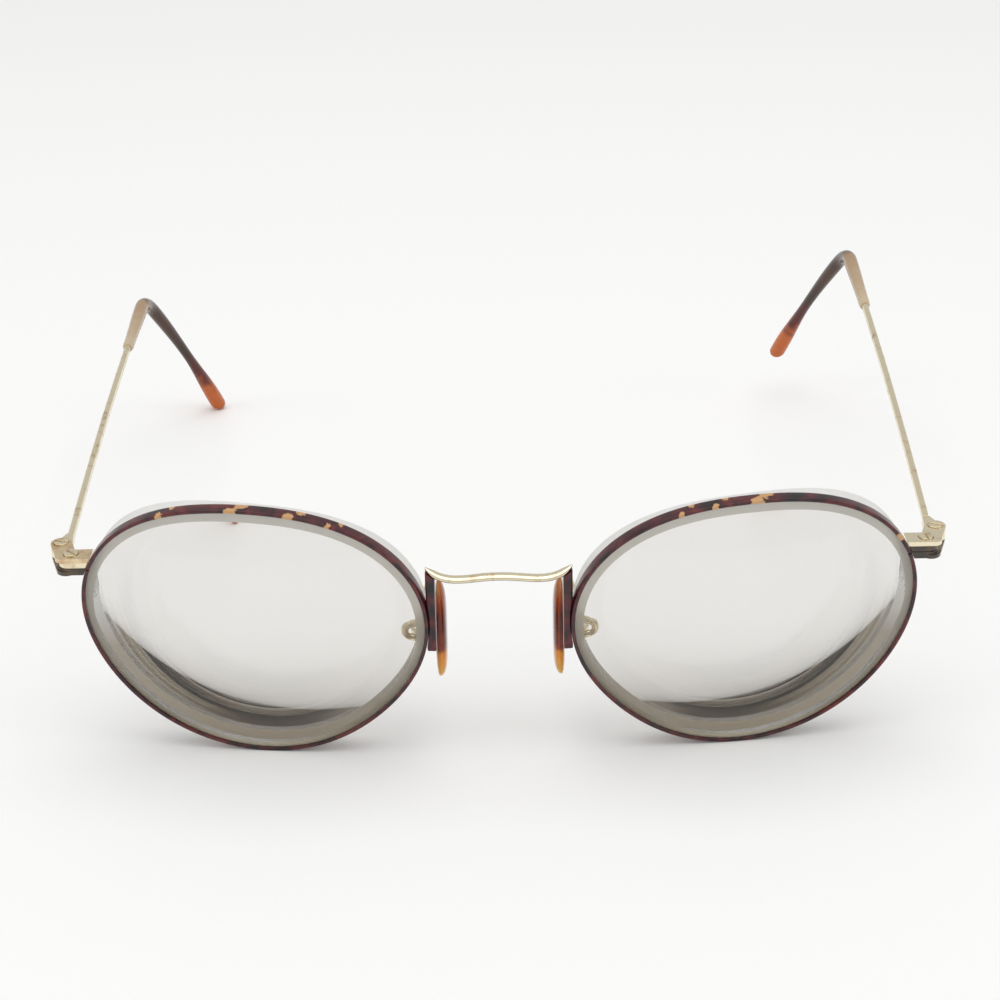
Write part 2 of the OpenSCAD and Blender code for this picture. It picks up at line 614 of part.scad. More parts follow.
module hinge_screw(side) {
    color(gold) placed(side) screw(hinge_at, stack_z);
}

module pad_arm(side) {
    color(gold) placed(side) skin(arm_rings);
}

module pad_box(side) {
    color(gold) placed(side) difference() {
        translate([box_front_x, pad_back - box_half, -pad_below - box_h / 2])
            cube([box_back_x + box_wall - box_front_x, 2 * box_half, box_h]);
        translate([box_front_x - seam, pad_back - stud_t / 2 - stud_side_gap, -pad_below - box_h / 2 - seam])
            cube([box_back_x - box_front_x + seam, stud_t + 2 * stud_side_gap, box_h + 2 * seam]);
        translate([eye_x, pad_back + box_half + seam, -pad_below]) rotate([90, 0, 0])
            cylinder(r = pad_screw_r + screw_fit, h = 2 * box_half + 2 * seam, $fn = round_sides);
    }
}

module pad_screw(side) {
    color(gold) placed(side) translate([eye_x, pad_back, -pad_below]) rotate([90, 0, 0]) {
        translate([0, 0, -box_half - pad_screw_head_h / 2])
            cylinder(r = pad_screw_r, h = 2 * box_half + pad_screw_head_h / 2, $fn = round_sides);
        translate([0, 0, -box_half - pad_screw_head_h])
            cylinder(d = pad_screw_head_d, h = pad_screw_head_h - seam, $fn = round_sides);
    }
}

module pad_stud(side) {
    color(gold) placed(side) difference() {
        union() {
            translate([pad_back_x + seam, pad_back, -pad_below]) rotate([0, 90, 0])
                cylinder(r = stud_base_r, h = stud_base_t, $fn = round_sides);
            translate([pad_back_x + seam + stud_base_t / 2, pad_back - stud_t / 2, -pad_below - stud_r * 0.8])
                cube([eye_x - pad_back_x - stud_base_t / 2, stud_t, stud_r * 1.6]);
            translate([eye_x, pad_back + stud_t / 2, -pad_below]) rotate([90, 0, 0])
                cylinder(r = stud_r, h = stud_t, $fn = round_sides);
        }
        translate([eye_x, pad_back + stud_t / 2 + seam, -pad_below]) rotate([90, 0, 0])
            cylinder(r = pad_screw_r + screw_fit, h = stud_t + 2 * seam, $fn = round_sides);
    }
}

module nose_pad(side) {
    color(amber) placed(side) skin(pad_rings);
}

module temple_knuckle(side) {
    outer = wire_w / 2 + sideways(tang_len);
    inner = sideways(tang_len) - wire_w / 2;
    color(gold) placed(side) difference() {
        translate([hinge_at[0], hinge_at[1], knuckle_z]) linear_extrude(knuckle_h) {
            circle(leaf_r, $fn = round_sides);
            polygon([[-leaf_r * 0.95, 0], [leaf_r * 0.9, leaf_r * 0.4], [outer, tang_len - seam],
                     [inner, tang_len - seam]]);
        }
        screw_hole(hinge_at, knuckle_z, knuckle_h, screw_r + screw_fit);
    }
}

module temple_wire(side) {
    color(gold) placed(side) skin(wire_rings(slope_of(side)));
}

module temple_tip(side) {
    color(tortoise) placed(side) skin(tip_rings(slope_of(side)));
}

rim(left);  // rim_left
rim(right);  // rim_right
lens(left);  // lens_left
lens(right);  // lens_right
bridge();
bridge_foot(left);  // bridge_foot_left
bridge_foot(right);  // bridge_foot_right
endpiece_plate(left);  // endpiece_plate_left
endpiece_plate(right);  // endpiece_plate_right
upper_closing_block(left);  // upper_closing_block_left
upper_closing_block(right);  // upper_closing_block_right
lower_closing_block(left);  // lower_closing_block_left
lower_closing_block(right);  // lower_closing_block_right
closing_screw(left);  // closing_screw_left
closing_screw(right);  // closing_screw_right
hinge_screw(left);  // hinge_screw_left
hinge_screw(right);  // hinge_screw_right
pad_arm(left);  // pad_arm_left
pad_arm(right);  // pad_arm_right
pad_box(left);  // pad_box_left
pad_box(right);  // pad_box_right
pad_screw(left);  // pad_screw_left
pad_screw(right);  // pad_screw_right
pad_stud(left);  // pad_stud_left
pad_stud(right);  // pad_stud_right
nose_pad(left);  // nose_pad_left
nose_pad(right);  // nose_pad_right
temple_knuckle(left);  // temple_knuckle_left
temple_knuckle(right);  // temple_knuckle_right
temple_wire(left);  // temple_wire_left
temple_wire(right);  // temple_wire_right
temple_tip(left);  // temple_tip_left
temple_tip(right);  // temple_tip_right
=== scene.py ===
"""Round metal eyeglass frame with enamelled rims, slim wire temples and rocking nose pads.

The packed model is loaded as a fixed frame, and every visible surface is built round it.
X runs across the face, Y from the front back to the ears and Z up, all in metres.
Left and right are as seen from the front. Each side is worked out on the right and mirrored.
"""

import functools
import math

import bmesh
import bpy
import numpy as np
from bpy.props import FloatProperty, FloatVectorProperty, PointerProperty
from mathutils import Matrix, Vector


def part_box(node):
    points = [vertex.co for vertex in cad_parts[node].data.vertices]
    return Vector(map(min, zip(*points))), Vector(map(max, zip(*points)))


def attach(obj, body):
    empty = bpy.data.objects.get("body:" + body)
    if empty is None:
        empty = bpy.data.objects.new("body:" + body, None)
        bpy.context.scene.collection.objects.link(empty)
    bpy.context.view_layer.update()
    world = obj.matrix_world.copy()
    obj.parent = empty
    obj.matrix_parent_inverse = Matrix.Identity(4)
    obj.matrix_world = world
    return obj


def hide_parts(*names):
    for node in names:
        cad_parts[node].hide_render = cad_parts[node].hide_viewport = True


bl_info = {
    "name": "Round Metal Eyeglass Frame",
    "version": (1, 0, 0),
    "blender": (4, 5, 0),
    "location": "View3D > Sidebar > Eyeglasses",
    "description": "Builds the visible surfaces of a round metal eyeglass frame",
    "category": "Object",
}

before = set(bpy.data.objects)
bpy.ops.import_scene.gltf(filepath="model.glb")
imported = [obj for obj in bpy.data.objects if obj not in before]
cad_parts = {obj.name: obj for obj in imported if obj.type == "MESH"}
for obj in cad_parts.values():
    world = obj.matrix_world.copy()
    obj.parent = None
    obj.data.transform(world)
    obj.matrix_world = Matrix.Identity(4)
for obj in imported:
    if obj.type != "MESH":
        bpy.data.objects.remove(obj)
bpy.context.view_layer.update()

MM = 0.001
LEFT = -1
RIGHT = 1
SIDES = {LEFT: "left", RIGHT: "right"}
TURN = 2 * math.pi


def linear(hex_colour):
    """Turns an sRGB hex colour into the linear red, green and blue that Blender works in."""
    srgb = np.array([int(hex_colour[i:i + 2], 16) / 255 for i in (1, 3, 5)])
    return tuple(np.where(srgb <= 0.04045, srgb / 12.92, ((srgb + 0.055) / 1.055) ** 2.4))


def length(label, says, size):
    """A size in metres that the sidebar shows."""
    return FloatProperty(name=label, description=says, default=size, unit="LENGTH", precision=5)


def angle(label, says, degrees):
    """An angle that the sidebar shows in degrees."""
    return FloatProperty(name=label, description=says, default=math.radians(degrees),
                         subtype="ANGLE")


def share(label, says, value):
    """A plain number that the sidebar shows."""
    return FloatProperty(name=label, description=says, default=value)


def colour(label, says, hex_colour):
    """A colour that the sidebar shows."""
    return FloatVectorProperty(name=label, description=says, default=linear(hex_colour),
                               subtype="COLOR", size=3, min=0, max=1)


class LensSizes(bpy.types.PropertyGroup):
    """Outline and thickness of the lenses."""

    width: length("Width", "Boxed width of a lens", 0.0482)
    height: length("Height", "Boxed height of a lens", 0.0415)
    gap: length("Gap", "Distance between the two lenses", 0.0214)
    panto: length("Panto rise", "How far the bottom and the upper corners stand out", 0.0009)
    corner: length(
        "Outer corner", "How far the outer upper corner stands out past the inner one", 0.00035)
    nose_side: length("Nose side", "How far the nose side stands out past the outer side", 0.0002)
    fullness: length("Fullness", "How far the outer upper corner is squared up", 0.0001)
    squared_at: angle("Squared at", "Phase of the squaring round the outline", 58)
    core: length("Middle thickness", "Thickness in the middle of a lens", 0.0011)
    front_radius: length("Front radius", "Radius of the outer face", 0.4)
    back_radius: length("Back radius", "Radius of the hollow inner face", 0.047)
    band: length("Ground band", "Width of the ground band round the outer face", 0.0012)
    band_slope: length("Band slope", "How far the ground band slopes back", 0.00025)
    back_bevel: length(
        "Back bevel", "Width and depth of the ground bevel round the inner face", 0.0012)
    decentre: length("Decentring", "How far the inner face's middle lies towards the nose", 0.0012)
    play: length("Play", "Play of the lens in its groove", 0.00005)
    wrap: angle("Wrap", "How far each rim wraps back round the face", 5.6)
    tilt: angle("Tilt", "How far the top of each rim leans forward", 6.5)


class RimSizes(bpy.types.PropertyGroup):
    """Section of the eyewire and the feet of the bridge."""

    wall: length("Wall", "Thickness of the eyewire from the lens outwards", 0.00055)
    depth: length("Depth", "Depth of the eyewire from front to back", 0.00175)
    groove: length("Groove depth", "Depth of the lens groove", 0.0003)
    groove_w: length("Groove width", "Width of the lens groove at its mouth", 0.0008)
    edge: length("Edge", "Round-off of the eyewire's edges", 0.00016)
    split: length("Split", "Gap where the eyewire is split at the endpiece", 0.0002)
    split_at: angle("Split place", "Place of the endpiece round the rim", 23)
    seam: length("Seam", "Seam between soldered pieces", 0.00002)
    foot_t: length(
        "Foot thickness", "Thickness of the foot that joins the bridge to a rim", 0.00105)
    foot_depth: length("Foot depth", "Depth of the foot from front to back", 0.0016)
    foot_spread: length(
        "Foot spread", "How far the foot's top stands out past its narrowest place", 0.00025)


class BridgeSizes(bpy.types.PropertyGroup):
    """Line and section of the bridge."""

    height: length("Height", "Height of the bridge's middle above the lens centres", 0.0096)
    dip: length("Dip", "Depth of the two dips beside the middle", 0.0006)
    rise: length("Rise", "Height of the ends above the middle", 0.0009)
    thickness: length("Thickness", "Thickness of the bridge", 0.00095)
    depth: length("Depth", "Depth of the bridge from front to back", 0.0017)
    arch: length("Arch", "How far the middle arches forward", 0.0012)


class TempleSizes(bpy.types.PropertyGroup):
    """Line of a temple and its wire, and the sleeve over its end."""

    length: length("Length", "From the hinge screw to the bend", 0.095)
    drop: length("Drop", "Length of the drop behind the ear", 0.031)
    bend: angle("Bend", "Angle of the bend over the ear", 52)
    bend_radius: length("Bend radius", "Radius of the bend over the ear", 0.0084)
    drop_radius: length("Drop radius", "Radius of the gentle curve of the drop", 0.13)
    rise: angle("Rise", "Angle at which the temples rise towards the ears", 0.9)
    skew: angle(
        "Skew", "Angle by which the right temple stands higher and the left one lower", 1.9)
    bow: length("Bow", "How far a temple bows outwards", 0.0004)
    inset: length("Inset", "How far a temple starts inwards of the hinge screw", 0.0007)
    spread: length("Spread", "How far the bend stands outwards of the hinge screw", 0.0013)
    lean: length("Lean", "How far a temple's end leans in from its bend", 0.0097)
    wire_w: length("Wire width", "Width of the temple wire", 0.00105)
    wire_h: length("Wire height", "Height of the temple wire", 0.0012)
    tang: length("Tang", "Length of the knuckle's flared tang", 0.0042)
    lead: length("Tip lead", "Length of the tip's straight part before the bend", 0.019)
    mouth: length("Mouth", "Thickness of the tip at its mouth", 0.0019)
    step: length("Step", "Length of the sloping step at the tip's mouth", 0.0009)
    at_bend: length("At the bend", "Thickness of the tip at the bend", 0.0024)
    waist: length("Waist", "Thickness of the tip at its waist", 0.0018)
    bulb: length("Bulb", "Thickness of the rounded end", 0.0029)
    mouth_wall: length("Mouth wall", "Wall of the tip round the wire at its mouth", 0.00012)


class PadSizes(bpy.types.PropertyGroup):
    """Nose pads and the wires that carry them."""

    length: length("Length", "Length of a nose pad", 0.0156)
    width: length("Width", "Width of a nose pad from front to back", 0.008)
    crown: length("Crown", "Crown of the pad's face on the nose side", 0.0012)
    back_crown: length("Back crown", "Crown of the pad's back", 0.0005)
    gap: length("Gap", "Distance between the two pads' faces", 0.0153)
    below: length("Height below", "Height of the pads' middle below the lens centres", 0.0033)
    back: length(
        "Set back", "Distance of the pads' middle behind the lens centres' fronts", 0.0054)
    fullness: share("Fullness", "Power of the pad's rounding, lower for a fuller pad", 0.45)
    arm_d: length("Arm thickness", "Diameter of the pad arm's wire", 0.00075)
    arm_loop_d: length("Loop thickness", "Diameter of the pad arm's wire in its loop", 0.001)
    arm_loop: length("Arm loop", "How far the pad arm's loop stands out from the pad box", 0.00095)
    arm_rise: length(
        "Arm rise", "Height of the arm where it leaves the foot, above the pad screw", 0.0087)
    arm_run: length("Arm run", "How far the arm runs straight back from the foot", 0.0022)
    arm_sweep: length("Arm sweep", "How far the arm keeps off the pad's back", 0.0008)
    arm_turn: length("Arm turn", "How tightly the arm turns", 0.0011)
    arm_set_back: length("Arm set back", "How far the arm lies behind the pad's middle", 0.0002)


class StageSettings(bpy.types.PropertyGroup):
    """Camera, lamps and floor."""

    camera_x: length("Camera X", "Place of the camera across the face", 0.00109)
    camera_y: length("Camera Y", "Place of the camera in front of the frame", -0.34437)
    camera_z: length("Camera Z", "Height of the camera", 0.18752)
    yaw: angle("Yaw", "Turn of the camera to its right", -0.14)
    pitch: angle("Pitch", "How far the camera looks down", 27.2)
    roll: angle("Roll", "Roll of the camera", -1.22)
    focal: share("Focal length", "Focal length in millimetres", 82.8)
    floor: colour("Floor", "Colour of the floor", "#FDFDFC")
    lamp_power: share("Lamp power", "Power of the large lamp in watts", 3.4)
    sky: share("Sky", "Strength of the pale surroundings", 0.6)


SETTINGS = (("lens", LensSizes), ("rim", RimSizes), ("bridge", BridgeSizes),
            ("temple", TempleSizes), ("pad", PadSizes), ("stage", StageSettings))


class EyeglassSettings(bpy.types.PropertyGroup):
    """All sizes of the eyeglass frame."""


for setting_name, setting_class in SETTINGS:
    EyeglassSettings.__annotations__[setting_name] = PointerProperty(type=setting_class)


def sizes(context):
    """The sizes that the sidebar shows."""
    return context.scene.eyeglasses


def sided(name, side):
    """Name of a piece, node or body on one side."""
    return f"{name}_{SIDES[side]}"


# Places that come from the frame


def pad_place(pad):
    """Shift from the rims' own origin to the row frame, read off the right pad stud."""
    low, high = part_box("pad_stud_right")
    middle = (low + high) / 2
    return np.array([0, middle.y - pad.back, middle.z + pad.below])


def hinge_place(side):
    """Middle of the temple's knuckle on the hinge screw's axis, in the row frame."""
    low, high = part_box(sided("hinge_screw", side))
    bottom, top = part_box(sided("temple_knuckle", side))
    return np.array([abs(low.x + high.x) / 2, (low.y + high.y) / 2, (bottom.z + top.z) / 2])


# Shape functions

SLOPE_STEP = 1e-4


def ring_angles(count):
    """Even angles round a closed ring."""
    return np.linspace(0, TURN, count, endpoint=False)


def turned(points, a, one, other):
    """Points turned by a from one axis towards another, both given by their numbers."""
    turn = np.eye(3)
    turn[one, one] = turn[other, other] = math.cos(a)
    turn[other, one] = math.sin(a)
    turn[one, other] = -math.sin(a)
    return points @ turn.T


def outline_radius(lens, a):
    """Radius of a lens at the angle a: an oval, plus waves of two, three and five round it."""
    mean = (lens.width + lens.height) / 4
    oval = (lens.width - lens.height) / 4
    return (mean + oval * np.cos(2 * a) + lens.panto * np.sin(3 * a) + lens.corner * np.sin(2 * a)
            - lens.nose_side * np.cos(3 * a) + lens.fullness * np.sin(5 * a - lens.squared_at))


def outline_normal(lens, a):
    """Direction of the outline's normal: the angle less the arctangent of slope over radius."""
    rise = outline_radius(lens, a + SLOPE_STEP) - outline_radius(lens, a - SLOPE_STEP)
    return a - np.arctan2(rise / (2 * SLOPE_STEP), outline_radius(lens, a))


def on_rim(size, across, back, up):
    """Points given across, back from and up along a rim's front face, in the row frame."""
    lens = size.lens
    points = np.stack(np.broadcast_arrays(across, back, up), -1)
    centre_x = lens.gap / 2 + outline_radius(lens, math.pi) * math.cos(lens.wrap)
    leant = turned(points, lens.tilt, 1, 2)
    return turned(leant, lens.wrap, 0, 1) + np.array([centre_x, 0, 0]) + pad_place(size.pad)


def rim_points(size, a, out, back):
    """Points a given distance out from the lens outline and back from the rim's front face."""
    normal = outline_normal(size.lens, a)
    radius = outline_radius(size.lens, a)
    return on_rim(size, radius * np.cos(a) + out * np.cos(normal), back,
                  radius * np.sin(a) + out * np.sin(normal))


def rounded_box(half_x, half_y, corner, count):
    """Section of a bar: a rectangle whose corners are quarter circles of count points."""
    turns = np.linspace(0, math.pi / 2, count)
    corners = []
    for k, (x, y) in enumerate(((1, 1), (-1, 1), (-1, -1), (1, -1))):
        a = turns + k * math.pi / 2
        corners.append(np.stack([x * (half_x - corner) + corner * np.cos(a),
                                 y * (half_y - corner) + corner * np.sin(a)], -1))
    return np.concatenate(corners)


def along_path(line, section_a, section_b, out, up):
    """Rings along a line: each section lies in the plane of the out and up directions there."""
    return line[:, None] + section_a[..., None] * out[:, None] + section_b[..., None] * up[:, None]


def eased(s, start, end, before, after):
    """Goes from one size to another over a stretch, as half a cosine wave."""
    t = np.clip((s - start) / (end - start), 0, 1)
    return before + (after - before) * (1 - np.cos(math.pi * t)) / 2


# Meshes

MERGE_DISTANCE = 0.001 * MM
FLAT_ANGLE = math.radians(0.5)
CREASE_ANGLE = math.radians(35)


def grid_faces(rows, columns):
    """Corners of the quads between neighbouring rows of points, each row a closed ring."""
    row = np.arange(rows - 1)[:, None] * columns
    here = np.arange(columns)[None, :]
    beside = (here + 1) % columns
    corners = (row + here, row + beside, row + columns + beside, row + columns + here)
    return np.stack(corners, -1).reshape(-1, 4)


def fan_faces(ring, middle):
    """Corners of the triangles that close a ring with a middle point."""
    return np.stack([ring, np.roll(ring, -1), np.full_like(ring, middle)], -1)


def outward(points, quads, triangles):
    """1 if the faces of a closed surface face outwards, or -1 if they are to be turned round.

    The volume is the sum over triangles of the first corner dotted with the cross of the others.
    """
    three = points[np.concatenate([quads[:, :3], quads[:, [0, 2, 3]], triangles])]
    volume = (three[:, 0] * np.cross(three[:, 1], three[:, 2])).sum()
    return 1 if volume > 0 else -1


def show(name, data):
    """An object at the origin that shows a mesh, a lamp or a camera."""
    made = bpy.data.objects.new(name, data)
    bpy.context.scene.collection.objects.link(made)
    return made


def skin(name, rings, side=RIGHT, attributes=None, zones=None, sharp=50):
    """A closed surface over rings of points, an array of rows by columns by three.

    Neighbouring rings are joined by quads, and the first and last ring are closed by fans of
    triangles round their middle. The left side's copy has its X turned over. attributes gives one
    number to each point, and zones gives each row of quads its material. Edges that turn by more
    than sharp degrees stay sharp.
    """
    rows, columns = rings.shape[:2]
    count = rows * columns
    last = count - columns
    points = np.concatenate([rings.reshape(-1, 3), rings[:1].mean(1), rings[-1:].mean(1)])
    if side == LEFT:
        points = points * np.array([-1, 1, 1])
    quads = grid_faces(rows, columns)
    ring = np.arange(columns)
    triangles = np.concatenate([fan_faces(ring, count)[:, [1, 0, 2]],
                                fan_faces(last + ring, count + 1)])
    order = outward(points, quads, triangles)
    corners = np.concatenate([quads[:, ::order].ravel(), triangles[:, ::order].ravel()])
    starts = np.concatenate([np.arange(len(quads)) * 4,
                             len(quads) * 4 + np.arange(len(triangles)) * 3])
    mesh = bpy.data.meshes.new(name)
    mesh.vertices.add(len(points))
    mesh.vertices.foreach_set("co", points.astype(np.float32).ravel())
    mesh.loops.add(len(corners))
    mesh.loops.foreach_set("vertex_index", corners.astype(np.int32))
    mesh.polygons.add(len(starts))
    mesh.polygons.foreach_set("loop_start", starts.astype(np.int32))
    if zones is not None:
        zone = np.concatenate([np.repeat(zones, columns), np.repeat(zones[[0, -1]], columns)])
        mesh.polygons.foreach_set("material_index", zone)
    mesh.update(calc_edges=True)
    for key, value in (attributes or {}).items():
        value = np.broadcast_to(value, (rows, columns)).ravel()
        made = mesh.attributes.new(key, "FLOAT", "POINT")
        made.data.foreach_set("value", np.append(value, value[[0, last]]).astype(np.float32))
    mesh.validate()
    mesh.shade_smooth()
    mesh.set_sharp_from_angle(angle=math.radians(sharp))
    return show(name, mesh)


def from_node(name, node, round_off, turn):
    """A copy of a CAD node with its doubled corners merged and its edges rounded off.

    It is turned by turn degrees about the upright line through its middle, as a screw may be.
    """
    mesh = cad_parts[node].data.copy()
    mesh.name = name
    mesh.materials.clear()
    shape = bmesh.new()
    shape.from_mesh(mesh)
    bmesh.ops.remove_doubles(shape, verts=shape.verts, dist=MERGE_DISTANCE)
    bmesh.ops.dissolve_limit(shape, angle_limit=FLAT_ANGLE, verts=shape.verts, edges=shape.edges)
    if turn:
        low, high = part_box(node)
        middle = Matrix.Translation((low + high) / 2)
        about = middle @ Matrix.Rotation(math.radians(turn), 4, "Z") @ middle.inverted()
        bmesh.ops.transform(shape, matrix=about, verts=shape.verts)
    shape.to_mesh(mesh)
    shape.free()
    mesh.shade_smooth()
    mesh.set_sharp_from_angle(angle=CREASE_ANGLE)
    piece = show(name, mesh)
    bevel = piece.modifiers.new("Rounded edges", "BEVEL")
    bevel.width = round_off
    bevel.segments = 3
    bevel.limit_method = "ANGLE"
    bevel.angle_limit = CREASE_ANGLE
    bevel.harden_normals = True
    return piece


def settle(piece, body, slot, node, *finishes):
    """Gives a piece its materials, its body and the node that it stands for; slot is not used."""
    for finish in finishes:
        piece.data.materials.append(material(finish))
    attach(piece, body)
    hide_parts(node)


# Materials: each finish is given add, which adds a node to its tree, and returns the shader


def add_node(tree, kind, inputs=None, stops=None, **settings):
    """Adds a node, with its settings, its ramp's stops and its sockets' values or links.

    A node given as a value stands for its first output that is in use.
    """
    made = tree.nodes.new("ShaderNode" + kind)
    for name, value in settings.items():
        setattr(made, name, value)
    for socket, value in (inputs or {}).items():
        if isinstance(value, bpy.types.Node):
            value = next(output for output in value.outputs if output.enabled)
        if isinstance(value, bpy.types.NodeSocket):
            tree.links.new(value, made.inputs[socket])
        else:
            made.inputs[socket].default_value = value
    if stops:
        ramp = made.color_ramp
        for place, hex_colour in stops[len(ramp.elements):]:
            ramp.elements.new(place)
        for element, (place, hex_colour) in zip(ramp.elements, stops):
            element.position = place
            element.color = opaque(hex_colour)
    return made


def opaque(hex_colour):
    """A hex colour as four numbers, the last one for full cover."""
    return (*linear(hex_colour), 1)


def spaced(millimetres):
    """Scale of a noise whose features lie that far apart."""
    return 1 / (millimetres * MM)


def material(finish):
    """The material that a finish makes: named for the finish, and made only once."""
    made = bpy.data.materials.get(finish.__name__)
    if made is None:
        made = bpy.data.materials.new(finish.__name__)
        made.use_nodes = True
        made.node_tree.nodes.clear()
        add = functools.partial(add_node, made.node_tree)
        add("OutputMaterial", {"Surface": finish(add)})
    return made


def gold_plate(add, worn, bright, dull, roughness):
    """Polished gold plate over nickel silver: a mirror with faint wipe marks and duller spots.

    An attribute that bars have draws painted shade: a dark brown line low on them.
    """
    place = add("TexCoord").outputs["Object"]
    patches = add("TexNoise",
                  {"Vector": place, "Scale": spaced(2.381), "Detail": 4, "Roughness": 0.6})
    colours = add("ValToRGB", {"Fac": patches},
                  stops=[(0.3, dull), (worn, bright), (0.75, bright)])
    shade_under = add("Attribute", attribute_name="shade_under").outputs["Fac"]
    # Painted shade: dark brown mixed in low on the bars.
    tone_with_painted_shade = add("Mix", {"Factor": shade_under, "A": colours, "B": opaque("#4E3C26")}, data_type="RGBA")
    grain = add("TexNoise", {"Vector": place, "Scale": spaced(0.16667), "Detail": 2})
    rough = add("MapRange", {"Value": patches, "From Min": 0.3, "From Max": 0.7,
                             "To Min": roughness + 0.12, "To Max": roughness})
    bump = add("Bump", {"Height": grain, "Strength": 0.12, "Distance": 0.02 * MM})
    return add("BsdfPrincipled",
               {"Base Color": tone_with_painted_shade, "Metallic": 1.0, "Roughness": rough, "Normal": bump})


def pale_gold_plate(add):
    """Pale gold plate, as on the temples, the bridge, the screws and the pad arms."""
    return gold_plate(add, 0.45, "#F0E4C6", "#CDB690", 0.2)


def worn_copper_gold_plate(add):
    """Gold plate worn to its copper underlayer, as on the left endpiece's plate."""
    return gold_plate(add, 0.55, "#E8D4B0", "#C8A27C", 0.3)


def tortoise_enamel(add):
    """Fired enamel: deep burgundy and brown with tan flecks under a glassy coat.

    A fleck shows where its share and a ragged noise add up to more than one.
    """
    place = add("TexCoord").outputs["Object"]
    fleck = add("Attribute", attribute_name="fleck").outputs["Fac"]
    cloud = add("TexNoise",
                {"Vector": place, "Scale": spaced(3.125), "Detail": 3, "Distortion": 0.8})
    ground = add("ValToRGB", {"Fac": cloud},
                 stops=[(0.35, "#16060A"), (0.5, "#430F18"), (0.68, "#682220")])
    ragged = add("TexNoise",
                 {"Vector": place, "Scale": spaced(1.42857), "Detail": 3, "Distortion": 1.5})
    edge = add("Math", {0: fleck, 1: ragged}, operation="ADD")
    cover = add("MapRange", {"Value": edge, "From Min": 1.02, "From Max": 1.14})
    colours = add("Mix", {"Factor": cover, "A": ground, "B": opaque("#C99A66")}, data_type="RGBA")
    return add("BsdfPrincipled",
               {"Base Color": colours, "Roughness": 0.3, "Specular IOR Level": 0.3,
                "Coat Weight": 0.5, "Coat Roughness": 0.08})


def dark_brown_enamel(add):
    """Plain dark brown enamel of the closing blocks, clouded and softly glossy."""
    place = add("TexCoord").outputs["Object"]
    cloud = add("TexNoise", {"Vector": place, "Scale": spaced(2), "Detail": 3})
    colours = add("ValToRGB", {"Fac": cloud}, stops=[(0.35, "#2B2018"), (0.65, "#5A4228")])
    return add("BsdfPrincipled",
               {"Base Color": colours, "Roughness": 0.3, "Coat Weight": 0.6,
                "Coat Roughness": 0.12})


def polished_lens_resin(add):
    """Cast lens resin, polished: clear with a very faint grey tint."""
    return add("BsdfPrincipled",
               {"Base Color": opaque("#ECEAE7"), "Roughness": 0.0, "IOR": 1.5,
                "Transmission Weight": 1.0})


def ground_lens_edge_painted_reflection(add):
    """Lens resin left matt by the edging wheel: grey in front with painted shade and a painted
    highlight low down, and painted reflection of the rim on its wall, brown rings low on it and
    pale above.

    The across attribute is 0 on the outer band and goes to 1 over the wall behind it.
    """
    place = add("TexCoord").outputs["Object"]
    above = add("SeparateXYZ", {"Vector": place}).outputs["Z"]
    height = add("MapRange", {"Value": above, "From Min": 0.0, "From Max": 42 * MM})
    # Front band: the ground resin's grey with painted shade, and a cream painted highlight low
    # down.
    band = add("ValToRGB", {"Fac": height},
               stops=[(0.02, "#E2D8BE"), (0.14, "#A89E88"), (0.5, "#A39C8E"), (1.0, "#A8A49B")])
    # Wall: painted reflection of the rim, brown low and near white high.
    wall = add("ValToRGB", {"Fac": height},
               stops=[(0.05, "#75664E"), (0.4, "#8A7E6A"), (0.6, "#ECEBE6"), (1.0, "#F8F8F6")])
    across = add("Attribute", attribute_name="across").outputs["Fac"]
    # Painted reflection of the rim: light and dark rings low on the wall.
    rings = add("ValToRGB", {"Fac": across},
                stops=[(0.1, "#FFFFFF"), (0.25, "#6E5C48"), (0.35, "#FFFFFF"), (0.5, "#6E5C48"),
                       (0.6, "#F4EEE2"), (0.8, "#5A4A38"), (0.92, "#FFFFFF")])
    wall_with_reflection_rings = add("Mix", {"Factor": 0.8, "A": wall, "B": rings}, data_type="RGBA",
                 blend_type="MULTIPLY")
    high = add("MapRange", {"Value": height, "From Min": 0.45, "From Max": 0.6})
    behind = add("Mix", {"Factor": high, "A": wall_with_reflection_rings, "B": wall}, data_type="RGBA")
    on_wall = add("MapRange", {"Value": across, "From Min": 0.01, "From Max": 0.04})
    colours = add("Mix", {"Factor": on_wall, "A": band, "B": behind}, data_type="RGBA")
    wheel = add("TexNoise", {"Vector": place, "Scale": spaced(0.4), "Detail": 3})
    bump = add("Bump", {"Height": wheel, "Strength": 0.5, "Distance": 0.05 * MM})
    return add("BsdfPrincipled",
               {"Base Color": colours, "Roughness": 0.4, "IOR": 1.5, "Transmission Weight": 0.65,
                "Normal": bump})


def tortoise_acetate_painted_reflection(add):
    """Cellulose acetate, orange at its end, with painted reflection: pale on the straight sleeve
    and brown down the drop.

    The colours follow the along attribute, shifted a little by a cloudy noise.
    """
    place = add("TexCoord").outputs["Object"]
    along = add("Attribute", attribute_name="along").outputs["Fac"]
    cloud = add("TexNoise",
                {"Vector": place, "Scale": spaced(6.25), "Detail": 3, "Distortion": 1.2})
    wander = add("Math", {0: cloud, 1: 0.22, 2: along}, operation="MULTIPLY_ADD")
    # Painted reflection: pale along the straight sleeve, brown down the drop.
    colours = add("ValToRGB", {"Fac": wander},
                  stops=[(0.1, "#D6C2A2"), (0.42, "#B08E68"), (0.5, "#3E2A16"), (0.66, "#4A2412"),
                         (0.78, "#33200F"), (0.92, "#5A1408"), (1.0, "#C8641E")])
    return add("BsdfPrincipled",
               {"Base Color": colours, "Roughness": 0.14, "IOR": 1.49,
                "Transmission Weight": 0.15})


